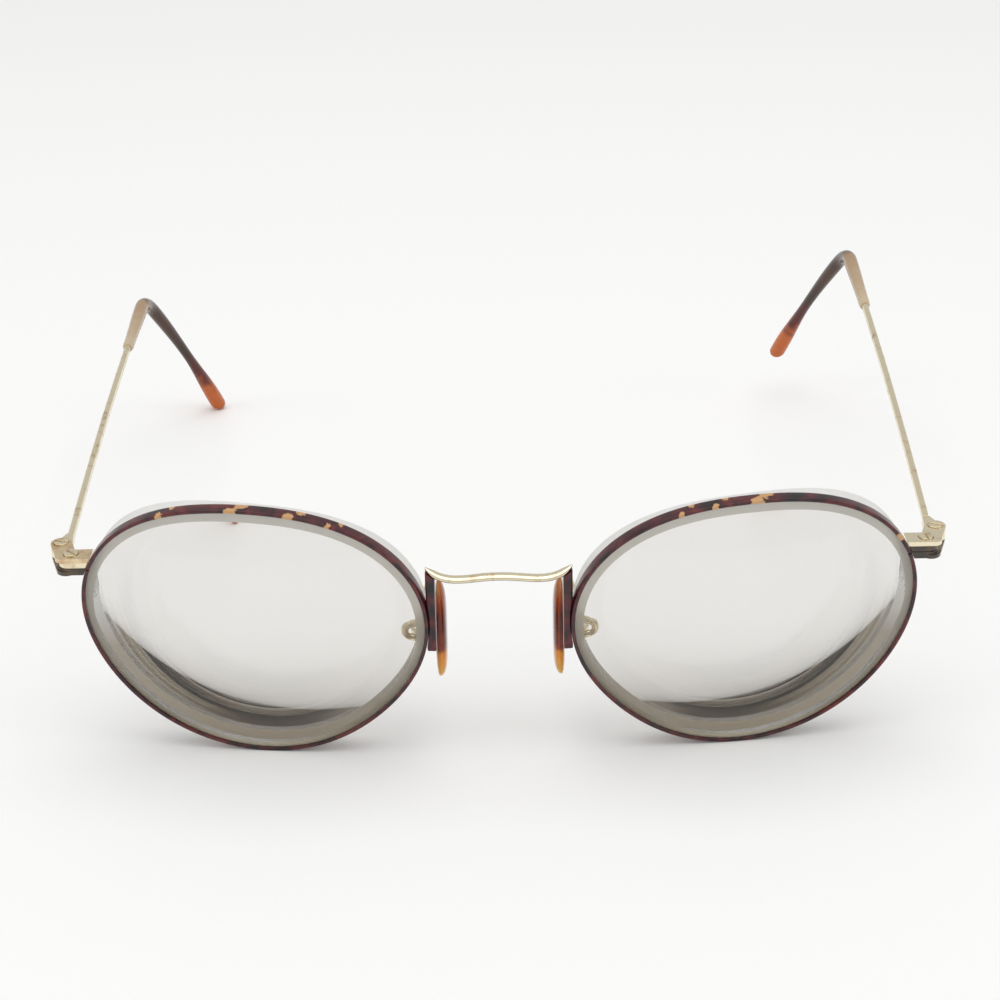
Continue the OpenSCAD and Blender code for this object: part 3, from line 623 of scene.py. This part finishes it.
def amber_acetate_painted_light(add):
    """Clear acetate of the nose pads with painted light by height: a painted highlight makes it
    yellow at the lower end, and painted shade makes it red-brown above it.
    """
    height = add("Attribute", attribute_name="height").outputs["Fac"]
    # Painted highlight: yellow at the lower end. Painted shade: red-brown in the middle.
    colours = add("ValToRGB", {"Fac": height},
                  stops=[(0.0, "#FFF06A"), (0.08, "#FFC21A"), (0.35, "#F09408"), (0.4, "#6E1E0A"),
                         (0.72, "#7A260C"), (0.84, "#C25218"), (1.0, "#E48A34")])
    return add("BsdfPrincipled",
               {"Base Color": colours, "Roughness": 0.06, "IOR": 1.49, "Transmission Weight": 0.6})


def matt_white_board(add):
    """Smooth pale board under the object: matt, and only as bright as its colour."""
    place = add("TexCoord").outputs["Object"]
    tooth = add("TexNoise", {"Vector": place, "Scale": spaced(1.11111), "Detail": 4})
    bump = add("Bump", {"Height": tooth, "Strength": 0.15, "Distance": 0.1 * MM})
    return add("BsdfPrincipled",
               {"Base Color": (*sizes(bpy.context).stage.floor, 1), "Roughness": 0.9,
                "Specular IOR Level": 0.1, "Normal": bump})


# Rims and lenses

RIM_STEPS = 480
RIM_CORNER = 6
FACE_RINGS = 40
INNERMOST = 0.02
# Middle and half width of each pale fleck, in degrees round the rim from its outer side
FLECKS = {LEFT: ((58, 1.6), (85, 3.4), (108, 2.6), (123, 1.3)),
          RIGHT: ((31, 2), (88, 3.8), (105, 1.8), (118, 1.6))}
FLECK_SLANT = math.radians(5)
# The across attribute on the five rings of a lens's edge, from the front band to the back bevel
EDGE_ACROSS = [[0], [0], [0], [0.05], [1]]


def fleck_share(side, a):
    """How strongly the enamel is flecked at the angle a: a bell curve round each fleck."""
    return sum(np.exp(-((np.degrees(a) - middle) / width) ** 2) for middle, width in FLECKS[side])


def rim_section(rim):
    """Section of the eyewire, out by back: a rounded box with a V groove on the lens side."""
    box = (rounded_box(rim.wall / 2, rim.depth / 2, rim.edge, RIM_CORNER)
           + np.array([rim.wall, rim.depth]) / 2)
    middle = rim.depth / 2
    groove = np.array([[0, middle + rim.groove_w / 2], [rim.groove, middle + rim.groove_w / 6],
                       [rim.groove, middle - rim.groove_w / 6], [0, middle - rim.groove_w / 2]])
    return np.concatenate([box[:2 * RIM_CORNER], groove, box[2 * RIM_CORNER:]])


def build_rim(size, side):
    """Eyewire: its section carried round the lens outline from the split back to the split."""
    rim = size.rim
    start = rim.split_at
    half = rim.split / 2 / outline_radius(size.lens, start)
    a = np.linspace(start + half, start + TURN - half, RIM_STEPS)
    out, back = rim_section(rim).T
    rings = rim_points(size, a[:, None], out, back)
    place = np.mod(a, TURN)[:, None] + side * FLECK_SLANT * back / rim.depth
    piece = skin(sided("eyewire", side), rings, side,
                 attributes={"fleck": fleck_share(side, place)})
    settle(piece, "front", "rim_enamel", sided("rim", side), tortoise_enamel)


def build_lens(size, side):
    """Lens: rings from the middle of its outer face over its edge to the inner face's middle."""
    lens, rim = size.lens, size.rim
    a = ring_angles(RIM_STEPS)[None, :]
    middle = rim.depth / 2
    vertex = rim.edge - (lens.width / 2) ** 2 / 2 / lens.front_radius

    def face_back(r, curve, thickness, decentre):
        """Distance back: the square of the distance from the middle over twice the radius."""
        across = r * np.cos(a) + decentre
        return vertex + thickness + (across ** 2 + (r * np.sin(a)) ** 2) / 2 / curve

    def face(shares, inset, *bend):
        """Rings of a face at shares of the way from the lens's middle to its outline."""
        r = shares * (outline_radius(lens, a) - inset)
        return on_rim(size, r * np.cos(a), face_back(r, *bend), r * np.sin(a))

    shares = np.linspace(INNERMOST, 1, FACE_RINGS)[:, None]
    hollow = (lens.back_radius, lens.core, lens.decentre)
    inset = lens.play + lens.back_bevel
    bevel = rim.groove - 2 * lens.play
    half = rim.groove_w / 2 - 2 * lens.play
    wall_end = face_back(outline_radius(lens, a) - inset, *hollow) - lens.back_bevel
    edge = [rim_points(size, a, out, back)
            for out, back in ((-lens.play, rim.edge + lens.band_slope),
                              (-lens.play, middle - half), (bevel, middle),
                              (-lens.play, middle + half), (-lens.play, wall_end))]
    rings = np.concatenate([face(shares, lens.band, lens.front_radius, 0, 0), *edge,
                            face(shares[::-1], inset, *hollow)])
    zones = np.zeros(len(rings) - 1, np.int32)
    zones[FACE_RINGS - 1:FACE_RINGS + len(edge)] = 1
    across = np.concatenate([0 * shares, EDGE_ACROSS, 0 * shares + 1])
    piece = skin(sided("spectacle_lens", side), rings, side, attributes={"across": across},
                 zones=zones, sharp=12)
    settle(piece, "front", "lens", sided("lens", side), polished_lens_resin, ground_lens_edge_painted_reflection)


# Bridge and its legs

BRIDGE_STEPS = 241
BAR_CORNERS = 32
TAPER_FROM = 0.85
TAPER_LOSS = 0.75
LEG_TURNS = (186, 163.5)
LEG_STEPS = 60
LEG_TOP_STEPS = 16
LEG_CORNER = 5
# The legs' tops stay clear of the bar by a fiftieth of its half thickness
LEG_CLEAR = 1.02
# Middle and half width of the painted shade round a bar's section
SHADE_MIDDLE = math.radians(225)
SHADE_WIDTH = math.radians(32)


def bridge_numbers(size):
    """Narrowest place of the rim's nose side, half length, and the factors of the height."""
    rim, bridge = size.rim, size.bridge
    foot = rim_points(size, np.array(math.pi), rim.wall + 2 * rim.seam, rim.depth / 2)
    p = 2 * bridge.dip + math.sqrt(4 * bridge.dip ** 2 + 4 * bridge.dip * bridge.rise)
    return foot, foot[0] + rim.foot_spread, p, p + bridge.rise


def bridge_height(size, x):
    """Height of the bridge's line: less p times t squared, plus q times t to the fourth."""
    half, p, q = bridge_numbers(size)[1:]
    t = x / half
    return size.bridge.height - p * t ** 2 + q * t ** 4 + pad_place(size.pad)[2]


def painted_shade_share(b):
    """Share of painted shade round a bar's section: a bell curve about its lower inner edge."""
    return np.exp(-((b - SHADE_MIDDLE) / SHADE_WIDTH) ** 4)[None, :]


def build_bridge(size):
    """Bridge: an oval section carried along its wavy line and drawn out to a point at each end."""
    bridge = size.bridge
    foot, half, p, q = bridge_numbers(size)
    t = np.sin(np.linspace(-math.pi / 2, math.pi / 2, BRIDGE_STEPS))
    steep = np.arctan((-2 * p * t + 4 * q * t ** 3) / half)
    past = np.maximum(np.abs(t) - TAPER_FROM, 0) / (1 - TAPER_FROM)
    taper = (1 - TAPER_LOSS * past ** 2)[:, None] / 2
    x = t * half
    line = np.stack([x, foot[1] - bridge.arch * (1 - t ** 2), bridge_height(size, x)], -1)
    up = np.stack([-np.sin(steep), 0 * t, np.cos(steep)], -1)
    out = np.broadcast_to([0.0, 1.0, 0.0], up.shape)
    b = ring_angles(BAR_CORNERS)
    rings = along_path(line, bridge.depth * taper * np.cos(b),
                       bridge.thickness * taper * np.sin(b), out, up)
    # The bridge carries painted shade low on its section.
    piece = skin("bridge_bar", rings, attributes={"shade_under": painted_shade_share(b)})
    settle(piece, "front", "pale_gold", "bridge", pale_gold_plate)


def build_foot(size, side):
    """Leg: an upright rounded bar whose outer side follows the rim, up to the bridge."""
    rim, bridge = size.rim, size.bridge
    foot, half = bridge_numbers(size)[:2]
    a = np.radians(np.linspace(*LEG_TURNS, LEG_STEPS))
    rim_side = rim_points(size, a, rim.wall + 2 * rim.seam, rim.depth / 2)
    outer = np.append(np.minimum(rim_side[:, 0], half), half)
    half_t = (outer - foot[0] + rim.foot_t) / 2
    across, deep = rounded_box(rim.foot_t / 2, rim.foot_depth / 2, rim.foot_t / 4, LEG_CORNER).T
    wide = across * (half_t / rim.foot_t * 2)[:, None]
    corners = turned(np.stack([wide, deep + 0 * wide, 0 * wide], -1), size.lens.wrap, 0, 1)
    line = np.stack([outer - half_t, foot[1] + 0 * outer, np.append(rim_side[:, 2], 0)], -1)
    rings = line[:, None] + corners
    x = np.minimum(np.abs(rings[-1, :, 0]), half)
    rings[-1, :, 2] = bridge_height(size, x) - bridge.thickness / 2 * LEG_CLEAR
    rise = np.linspace(0, 1, LEG_TOP_STEPS)[1:, None, None]
    rings = np.concatenate([rings[:-1], rings[-2:-1] + (rings[-1:] - rings[-2:-1]) * rise])
    piece = skin(sided("bridge_leg", side), rings, side)
    settle(piece, "front", "rim_enamel", sided("bridge_foot", side), tortoise_enamel)


# Temples

WIRE_STEPS = 260
WIRE_SQUARENESS = 0.85
MOUTH_STEPS = 12
MOUTH_POWER = 1.5
TIP_STEPS = 220
CAP_STEPS = 24
NEAR_POLE = 88


def bend_length(temple):
    """Length of the bend over the ear, along the temple's line."""
    return temple.bend_radius * temple.bend


def heading(temple, s, slope):
    """How far the line points down at the distance s: level, then turning at two rates."""
    past = s - temple.length
    turned = np.clip(past, 0, bend_length(temple)) / temple.bend_radius
    return slope + turned + np.maximum(past - bend_length(temple), 0) / temple.drop_radius


def arc(start, down, radius, s):
    """Place at the distance s along an arc that starts pointing down by the given angle."""
    b = down + s / radius
    return start + radius * np.stack([np.sin(b) - np.sin(down), np.cos(b) - np.cos(down)], -1)


def temple_line(temple, s, slope):
    """Back and up places along a temple: straight, a tight bend, then the gently curved drop."""
    way = np.array([math.cos(slope), -math.sin(slope)])
    bend_start = temple.length * way
    past = s - temple.length
    bend = arc(bend_start, slope, temple.bend_radius, np.clip(past, 0, bend_length(temple)))
    bend_end = arc(bend_start, slope, temple.bend_radius, np.array(bend_length(temple)))
    drop = arc(bend_end, slope + temple.bend, temple.drop_radius, past - bend_length(temple))
    place = np.where((past < 0)[:, None], np.minimum(s, temple.length)[:, None] * way, bend)
    return np.where((past < bend_length(temple))[:, None], place, drop)


def sideways(temple, s):
    """How far out of the hinge screw a temple lies: a bow and a spread, then a soft lean."""
    turn = bend_length(temple)
    before = (temple.bow * np.sin(math.pi * s / temple.length) - temple.inset
              + (temple.spread + temple.inset) * s / temple.length)
    past = s - temple.length
    softly = np.where(past < turn, past * past / turn / 2, past - turn / 2)
    after = temple.spread - temple.lean / (temple.drop + turn / 2) * softly
    return np.where(past < 0, before, after)


def temple_rings(size, side, s, wide, high, power=1.0):
    """Rings of the given width and height along a temple. A power below 1 squares the oval up."""
    temple = size.temple
    slope = -temple.rise - side * temple.skew
    place = temple_line(temple, s, slope)
    down = heading(temple, s, slope)
    hinge = hinge_place(side)
    line = np.stack([hinge[0] + sideways(temple, s), hinge[1] + place[:, 0],
                     hinge[2] + place[:, 1]], -1)
    out = np.broadcast_to([1.0, 0.0, 0.0], line.shape)
    up = np.stack([0 * s, np.sin(down), np.cos(down)], -1)
    b = ring_angles(BAR_CORNERS)
    across = np.sign(np.cos(b)) * np.abs(np.cos(b)) ** power
    upwards = np.sign(np.sin(b)) * np.abs(np.sin(b)) ** power
    return along_path(line, np.multiply.outer(wide / 2, across),
                      np.multiply.outer(high / 2, upwards), out, up)


def build_wire(size, side):
    """Temple wire: a softly squared oval from the knuckle's tang to three steps inside the tip."""
    temple = size.temple
    s = np.linspace(temple.tang, temple.length - temple.lead + 3 * temple.step, WIRE_STEPS)
    rings = temple_rings(size, side, s, temple.wire_w + 0 * s, temple.wire_h + 0 * s,
                         WIRE_SQUARENESS)
    # The wire carries painted shade low on its section.
    piece = skin(sided("temple_arm", side), rings, side,
                 attributes={"shade_under": painted_shade_share(ring_angles(BAR_CORNERS))})
    settle(piece, sided("temple", side), "pale_gold", sided("temple_wire", side), pale_gold_plate)


def tip_ends(temple):
    """Start of the tip, end of the bend and end of the tip, as distances along the temple."""
    bend_end = temple.length + bend_length(temple)
    return temple.length - temple.lead, bend_end, bend_end + temple.drop


def tip_thickness(temple, s):
    """Thickness of the tip: a sloping mouth, growing to the bend, a thin waist, a round bulb."""
    start, bend_end, end = tip_ends(temple)
    waist = bend_end + temple.drop / 2
    sleeve = eased(s, start, temple.length, temple.mouth, temple.at_bend)
    thinning = eased(s, bend_end, waist, temple.at_bend, temple.waist)
    swelling = eased(s, waist, end - temple.bulb, temple.waist, temple.bulb)
    body = np.where(s < temple.length, sleeve, np.where(s < waist, thinning, swelling))
    cap = np.clip((s - (end - temple.bulb / 2)) / (temple.bulb / 2), 0, 1)
    mouth_d = temple.wire_h + 2 * temple.mouth_wall
    lip = np.clip((s - start) / temple.step, 0, 1)
    return (mouth_d + (body - mouth_d) * np.sqrt(lip)) * np.sqrt(1 - cap ** 2)


def build_tip(size, side):
    """Temple tip: a round section as thick as the sleeve, the bend, the waist and the bulb."""
    temple = size.temple
    start, bend_end, end = tip_ends(temple)
    mouth = start + temple.step * np.linspace(0, 1, MOUTH_STEPS) ** MOUTH_POWER
    middle = np.linspace(start + temple.step, end - temple.bulb / 2, TIP_STEPS)[1:]
    turns = np.radians(np.linspace(0, NEAR_POLE, CAP_STEPS))[1:]
    s = np.concatenate([mouth, middle, end - temple.bulb / 2 * (1 - np.sin(turns))])
    thick = tip_thickness(temple, s)
    piece = skin(sided("temple_sleeve", side), temple_rings(size, side, s, thick, thick), side,
                 attributes={"along": ((s - start) / (end - start))[:, None]})
    settle(piece, sided("temple", side), "tip_acetate", sided("temple_tip", side),
           tortoise_acetate_painted_reflection)


# Nose pads and their arms

PAD_RINGS = 65
PAD_CORNERS = 96
ARM_STEPS = 12
ARM_CORNERS = 24
# A direction that no part of the arm's line follows, from which its sections are turned
ASIDE = (0.3, 0.7, 0.6)
# The arm grows thicker between these two of its places
ARM_GROWS = (4, 6)


def build_pad(size, side):
    """Nose pad: an oval with bulging faces, its rings shrinking as a power of a cosine."""
    pad = size.pad
    b = np.radians(np.linspace(-NEAR_POLE, NEAR_POLE, PAD_RINGS))[:, None]
    c = ring_angles(PAD_CORNERS)[None, :]
    shrink = np.cos(b) ** pad.fullness
    crown = np.where(b < 0, pad.crown, pad.back_crown)
    centre = np.array([pad.gap / 2 + pad.crown, pad.back, -pad.below]) + pad_place(pad)
    offset = np.stack(np.broadcast_arrays(np.sin(b) * crown, shrink * pad.width / 2 * np.cos(c),
                                          shrink * pad.length / 2 * np.sin(c)), -1)
    piece = skin(sided("bridge_pad", side), centre + offset, side,
                 attributes={"height": offset[..., 2] / pad.length + 0.5}, sharp=60)
    settle(piece, sided("rocking_pad", side), "pad_acetate", sided("nose_pad", side),
           amber_acetate_painted_light)


def arm_places(size):
    """The arm's start, its direction there, and the places that it passes, in the row frame."""
    pad, rim = size.pad, size.rim
    shift = pad_place(pad)
    foot, half = bridge_numbers(size)[:2]
    way = turned(np.array([0.0, 1.0, 0.0]), size.lens.wrap, 0, 1)
    start = (rim.foot_depth / 2 + rim.seam) * way + np.array(
        [(foot[0] - rim.foot_t + half) / 2, foot[1], shift[2] + pad.arm_rise - pad.below])
    end = np.array([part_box("pad_box_right")[1].x + rim.seam, shift[1] + pad.back,
                    shift[2] - pad.below])
    turn = pad.arm_turn
    behind = end[1] + pad.arm_set_back
    beside_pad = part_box("nose_pad_right")[1].x + pad.arm_d / 2
    return way, np.array([
        start, start + pad.arm_run * way,
        [beside_pad + pad.arm_sweep / 3, behind - turn, start[2] - turn / 3],
        [beside_pad + pad.arm_sweep, behind, start[2] - 2 * turn],
        [beside_pad + pad.arm_sweep, behind, end[2] + 4 * turn],
        [end[0] - turn / 3, behind, end[2] + 2.2 * turn],
        [end[0] + pad.arm_loop * 0.8, behind, end[2] + 1.4 * turn],
        [end[0] + pad.arm_loop, end[1] + pad.arm_set_back / 2, end[2] + turn / 2],
        [end[0] + pad.arm_loop * 0.5, end[1], end[2]], end])


def build_arm(size, side):
    """Pad arm: round wire on a smooth curve through its places, thicker in its loop.

    Between two places it is a cubic whose slopes are half the step between their neighbours.
    """
    pad = size.pad
    start_way, places = arm_places(size)
    last = len(places) - 1
    t = np.linspace(0, last, ARM_STEPS * last + 1)
    i = np.minimum(t.astype(int), last - 1)
    f = (t - i)[:, None]
    before, here, after = places[np.maximum(i - 1, 0)], places[i], places[i + 1]
    beyond = places[np.minimum(i + 2, last)]
    line = (here + f * (after - before) / 2
            + f ** 2 * (2 * before - 5 * here + 4 * after - beyond) / 2
            + f ** 3 * (3 * here - before - 3 * after + beyond) / 2)
    way = np.gradient(line, axis=0)
    way[0] = start_way
    way[-1] = [-1, 0, 0]
    way = way / np.linalg.norm(way, axis=1, keepdims=True)
    out = np.cross(ASIDE, way)
    out = out / np.linalg.norm(out, axis=1, keepdims=True)
    b = ring_angles(ARM_CORNERS)
    thick = eased(t, *ARM_GROWS, pad.arm_d, pad.arm_loop_d)[:, None] / 2
    rings = along_path(line, thick * np.cos(b), thick * np.sin(b), out, np.cross(way, out))
    piece = skin(sided("pad_wire", side), rings, side)
    settle(piece, "front", "pale_gold", sided("pad_arm", side), pale_gold_plate)


# Pieces that keep the shape of their CAD node

# How far each slotted screw is turned, in degrees
SCREW_TURNS = {("hinge", LEFT): 10, ("closing", LEFT): -20, ("hinge", RIGHT): -50,
               ("closing", RIGHT): 75}


def keep_node(side, piece, node, round_off, body="front", slot="pale_gold",
              finish=pale_gold_plate, turn=0):
    """Settles a side's CAD node with its edges rounded off by so many millimetres."""
    made = from_node(sided(piece, side), sided(node, side), round_off * MM, turn)
    settle(made, body, slot, sided(node, side), finish)


def build_endpiece(side):
    """Endpiece: the top plate, the two closing blocks, the two slotted screws and the knuckle."""
    plate, block = ((worn_copper_gold_plate, pale_gold_plate) if side == LEFT
                    else (pale_gold_plate, dark_brown_enamel))
    keep_node(side, "top_plate", "endpiece_plate", 0.1, finish=plate)
    keep_node(side, "upper_block", "upper_closing_block", 0.12, slot="copper_gold", finish=block)
    keep_node(side, "lower_block", "lower_closing_block", 0.15, slot="dark_block",
              finish=dark_brown_enamel)
    for kind in ("hinge", "closing"):
        keep_node(side, f"slotted_{kind}_screw", f"{kind}_screw", 0.05,
                  turn=SCREW_TURNS[kind, side])
    keep_node(side, "hinge_knuckle", "temple_knuckle", 0.12, sided("temple", side))


def build_pad_metal(side):
    """Pad box, screw and stud."""
    keep_node(side, "pad_clevis", "pad_box", 0.08)
    keep_node(side, "pad_pin", "pad_screw", 0.06)
    keep_node(side, "pad_eye", "pad_stud", 0.05, sided("rocking_pad", side))


# Stage

FLOOR_SIZE = 6
# Each lamp's place, the side of its square, and its share of the lamp power
LAMPS = {"overhead_lamp": ((0, -0.1, 0.9), 0.9, 1), "left_lamp": ((-0.9, -0.3, 0.5), 0.5, 0.3),
         "right_lamp": ((0.9, -0.3, 0.5), 0.5, 0.3)}
SENSOR_WIDTH = 36
CLIP_START = 0.01


def camera_matrix(stage):
    """The camera's directions: forward from yaw and pitch, then right and up, rolled."""
    forward = Vector((math.sin(stage.yaw) * math.cos(stage.pitch),
                      math.cos(stage.yaw) * math.cos(stage.pitch), -math.sin(stage.pitch)))
    level = Vector((math.cos(stage.yaw), -math.sin(stage.yaw), 0))
    upright = level.cross(forward)
    right = level * math.cos(stage.roll) + upright * math.sin(stage.roll)
    up = upright * math.cos(stage.roll) - level * math.sin(stage.roll)
    turned = Matrix((right, up, -forward)).transposed().to_4x4()
    return Matrix.Translation((stage.camera_x, stage.camera_y, stage.camera_z)) @ turned


def build_stage(size):
    """Floor, one large soft lamp overhead, two side lamps, pale surroundings and the camera."""
    stage = size.stage
    scene = bpy.context.scene
    bpy.ops.mesh.primitive_plane_add(size=FLOOR_SIZE)
    floor = bpy.context.object
    floor.name = "floor"
    floor.data.materials.append(material(matt_white_board))
    for name, (place, side_length, power) in LAMPS.items():
        lamp = bpy.data.lights.new(name, "AREA")
        lamp.size = side_length
        lamp.energy = stage.lamp_power * power
        made = show(name, lamp)
        made.location = place
        made.rotation_euler = (-Vector(place)).to_track_quat("-Z", "Y").to_euler()
    scene.world = bpy.data.worlds.new("pale_surroundings")
    scene.world.use_nodes = True
    tree = scene.world.node_tree
    tree.nodes.clear()
    sky = add_node(tree, "Background", {"Color": (1, 1, 1, 1), "Strength": stage.sky})
    add_node(tree, "OutputWorld", {"Surface": sky})
    lens = bpy.data.cameras.new("camera")
    lens.lens = stage.focal
    lens.sensor_width = SENSOR_WIDTH
    lens.clip_start = CLIP_START
    scene.camera = show("camera", lens)
    scene.camera.matrix_world = camera_matrix(stage)
    scene.view_settings.view_transform = "Standard"


# Operators and panel


def build_sides(context, *builders):
    """Runs builders for both sides, which ends an operator."""
    for side in SIDES:
        for builder in builders:
            builder(sizes(context), side)
    return {"FINISHED"}


class BuildRims(bpy.types.Operator):
    """Builds both eyewires"""

    bl_idname = "eyeglasses.build_rims"
    bl_label = "Build Eyewires"

    def execute(self, context):
        return build_sides(context, build_rim)


class BuildLenses(bpy.types.Operator):
    """Builds both lenses"""

    bl_idname = "eyeglasses.build_lenses"
    bl_label = "Build Lenses"

    def execute(self, context):
        return build_sides(context, build_lens)


class BuildBridge(bpy.types.Operator):
    """Builds the bridge and its two legs"""

    bl_idname = "eyeglasses.build_bridge"
    bl_label = "Build Bridge"

    def execute(self, context):
        build_bridge(sizes(context))
        return build_sides(context, build_foot)


class BuildEndpieces(bpy.types.Operator):
    """Builds the plates, closing blocks, screws and knuckles"""

    bl_idname = "eyeglasses.build_endpieces"
    bl_label = "Build Endpieces"

    def execute(self, context):
        for side in SIDES:
            build_endpiece(side)
        return {"FINISHED"}


class BuildTemples(bpy.types.Operator):
    """Builds the temple wires and their tips"""

    bl_idname = "eyeglasses.build_temples"
    bl_label = "Build Temples"

    def execute(self, context):
        return build_sides(context, build_wire, build_tip)


class BuildPads(bpy.types.Operator):
    """Builds the nose pads, their arms, boxes, studs and screws"""

    bl_idname = "eyeglasses.build_pads"
    bl_label = "Build Nose Pads"

    def execute(self, context):
        for side in SIDES:
            build_pad(sizes(context), side)
            build_arm(sizes(context), side)
            build_pad_metal(side)
        return {"FINISHED"}


class BuildStage(bpy.types.Operator):
    """Builds the floor, the lamps and the camera"""

    bl_idname = "eyeglasses.build_stage"
    bl_label = "Build Stage"

    def execute(self, context):
        build_stage(sizes(context))
        return {"FINISHED"}


OPERATORS = (BuildRims, BuildLenses, BuildBridge, BuildEndpieces, BuildTemples, BuildPads,
             BuildStage)


class EyeglassPanel(bpy.types.Panel):
    """Sidebar panel with the sizes and the operators"""

    bl_idname = "VIEW3D_PT_eyeglasses"
    bl_label = "Eyeglass Frame"
    bl_space_type = "VIEW_3D"
    bl_region_type = "UI"
    bl_category = "Eyeglasses"

    def draw(self, context):
        for operator in OPERATORS:
            self.layout.operator(operator.bl_idname)
        for name, group in SETTINGS:
            box = self.layout.box()
            box.label(text=group.__doc__)
            settings = getattr(sizes(context), name)
            for key in group.__annotations__:
                box.prop(settings, key)


CLASSES = (*(group for name, group in SETTINGS), EyeglassSettings, *OPERATORS, EyeglassPanel)


def register():
    for item in CLASSES:
        bpy.utils.register_class(item)
    bpy.types.Scene.eyeglasses = PointerProperty(type=EyeglassSettings)


def unregister():
    del bpy.types.Scene.eyeglasses
    for item in reversed(CLASSES):
        bpy.utils.unregister_class(item)


def main():
    """Builds everything."""
    register()
    for operator in OPERATORS:
        group, name = operator.bl_idname.split(".")
        getattr(getattr(bpy.ops, group), name)()


if __name__ == "__main__":
    main()
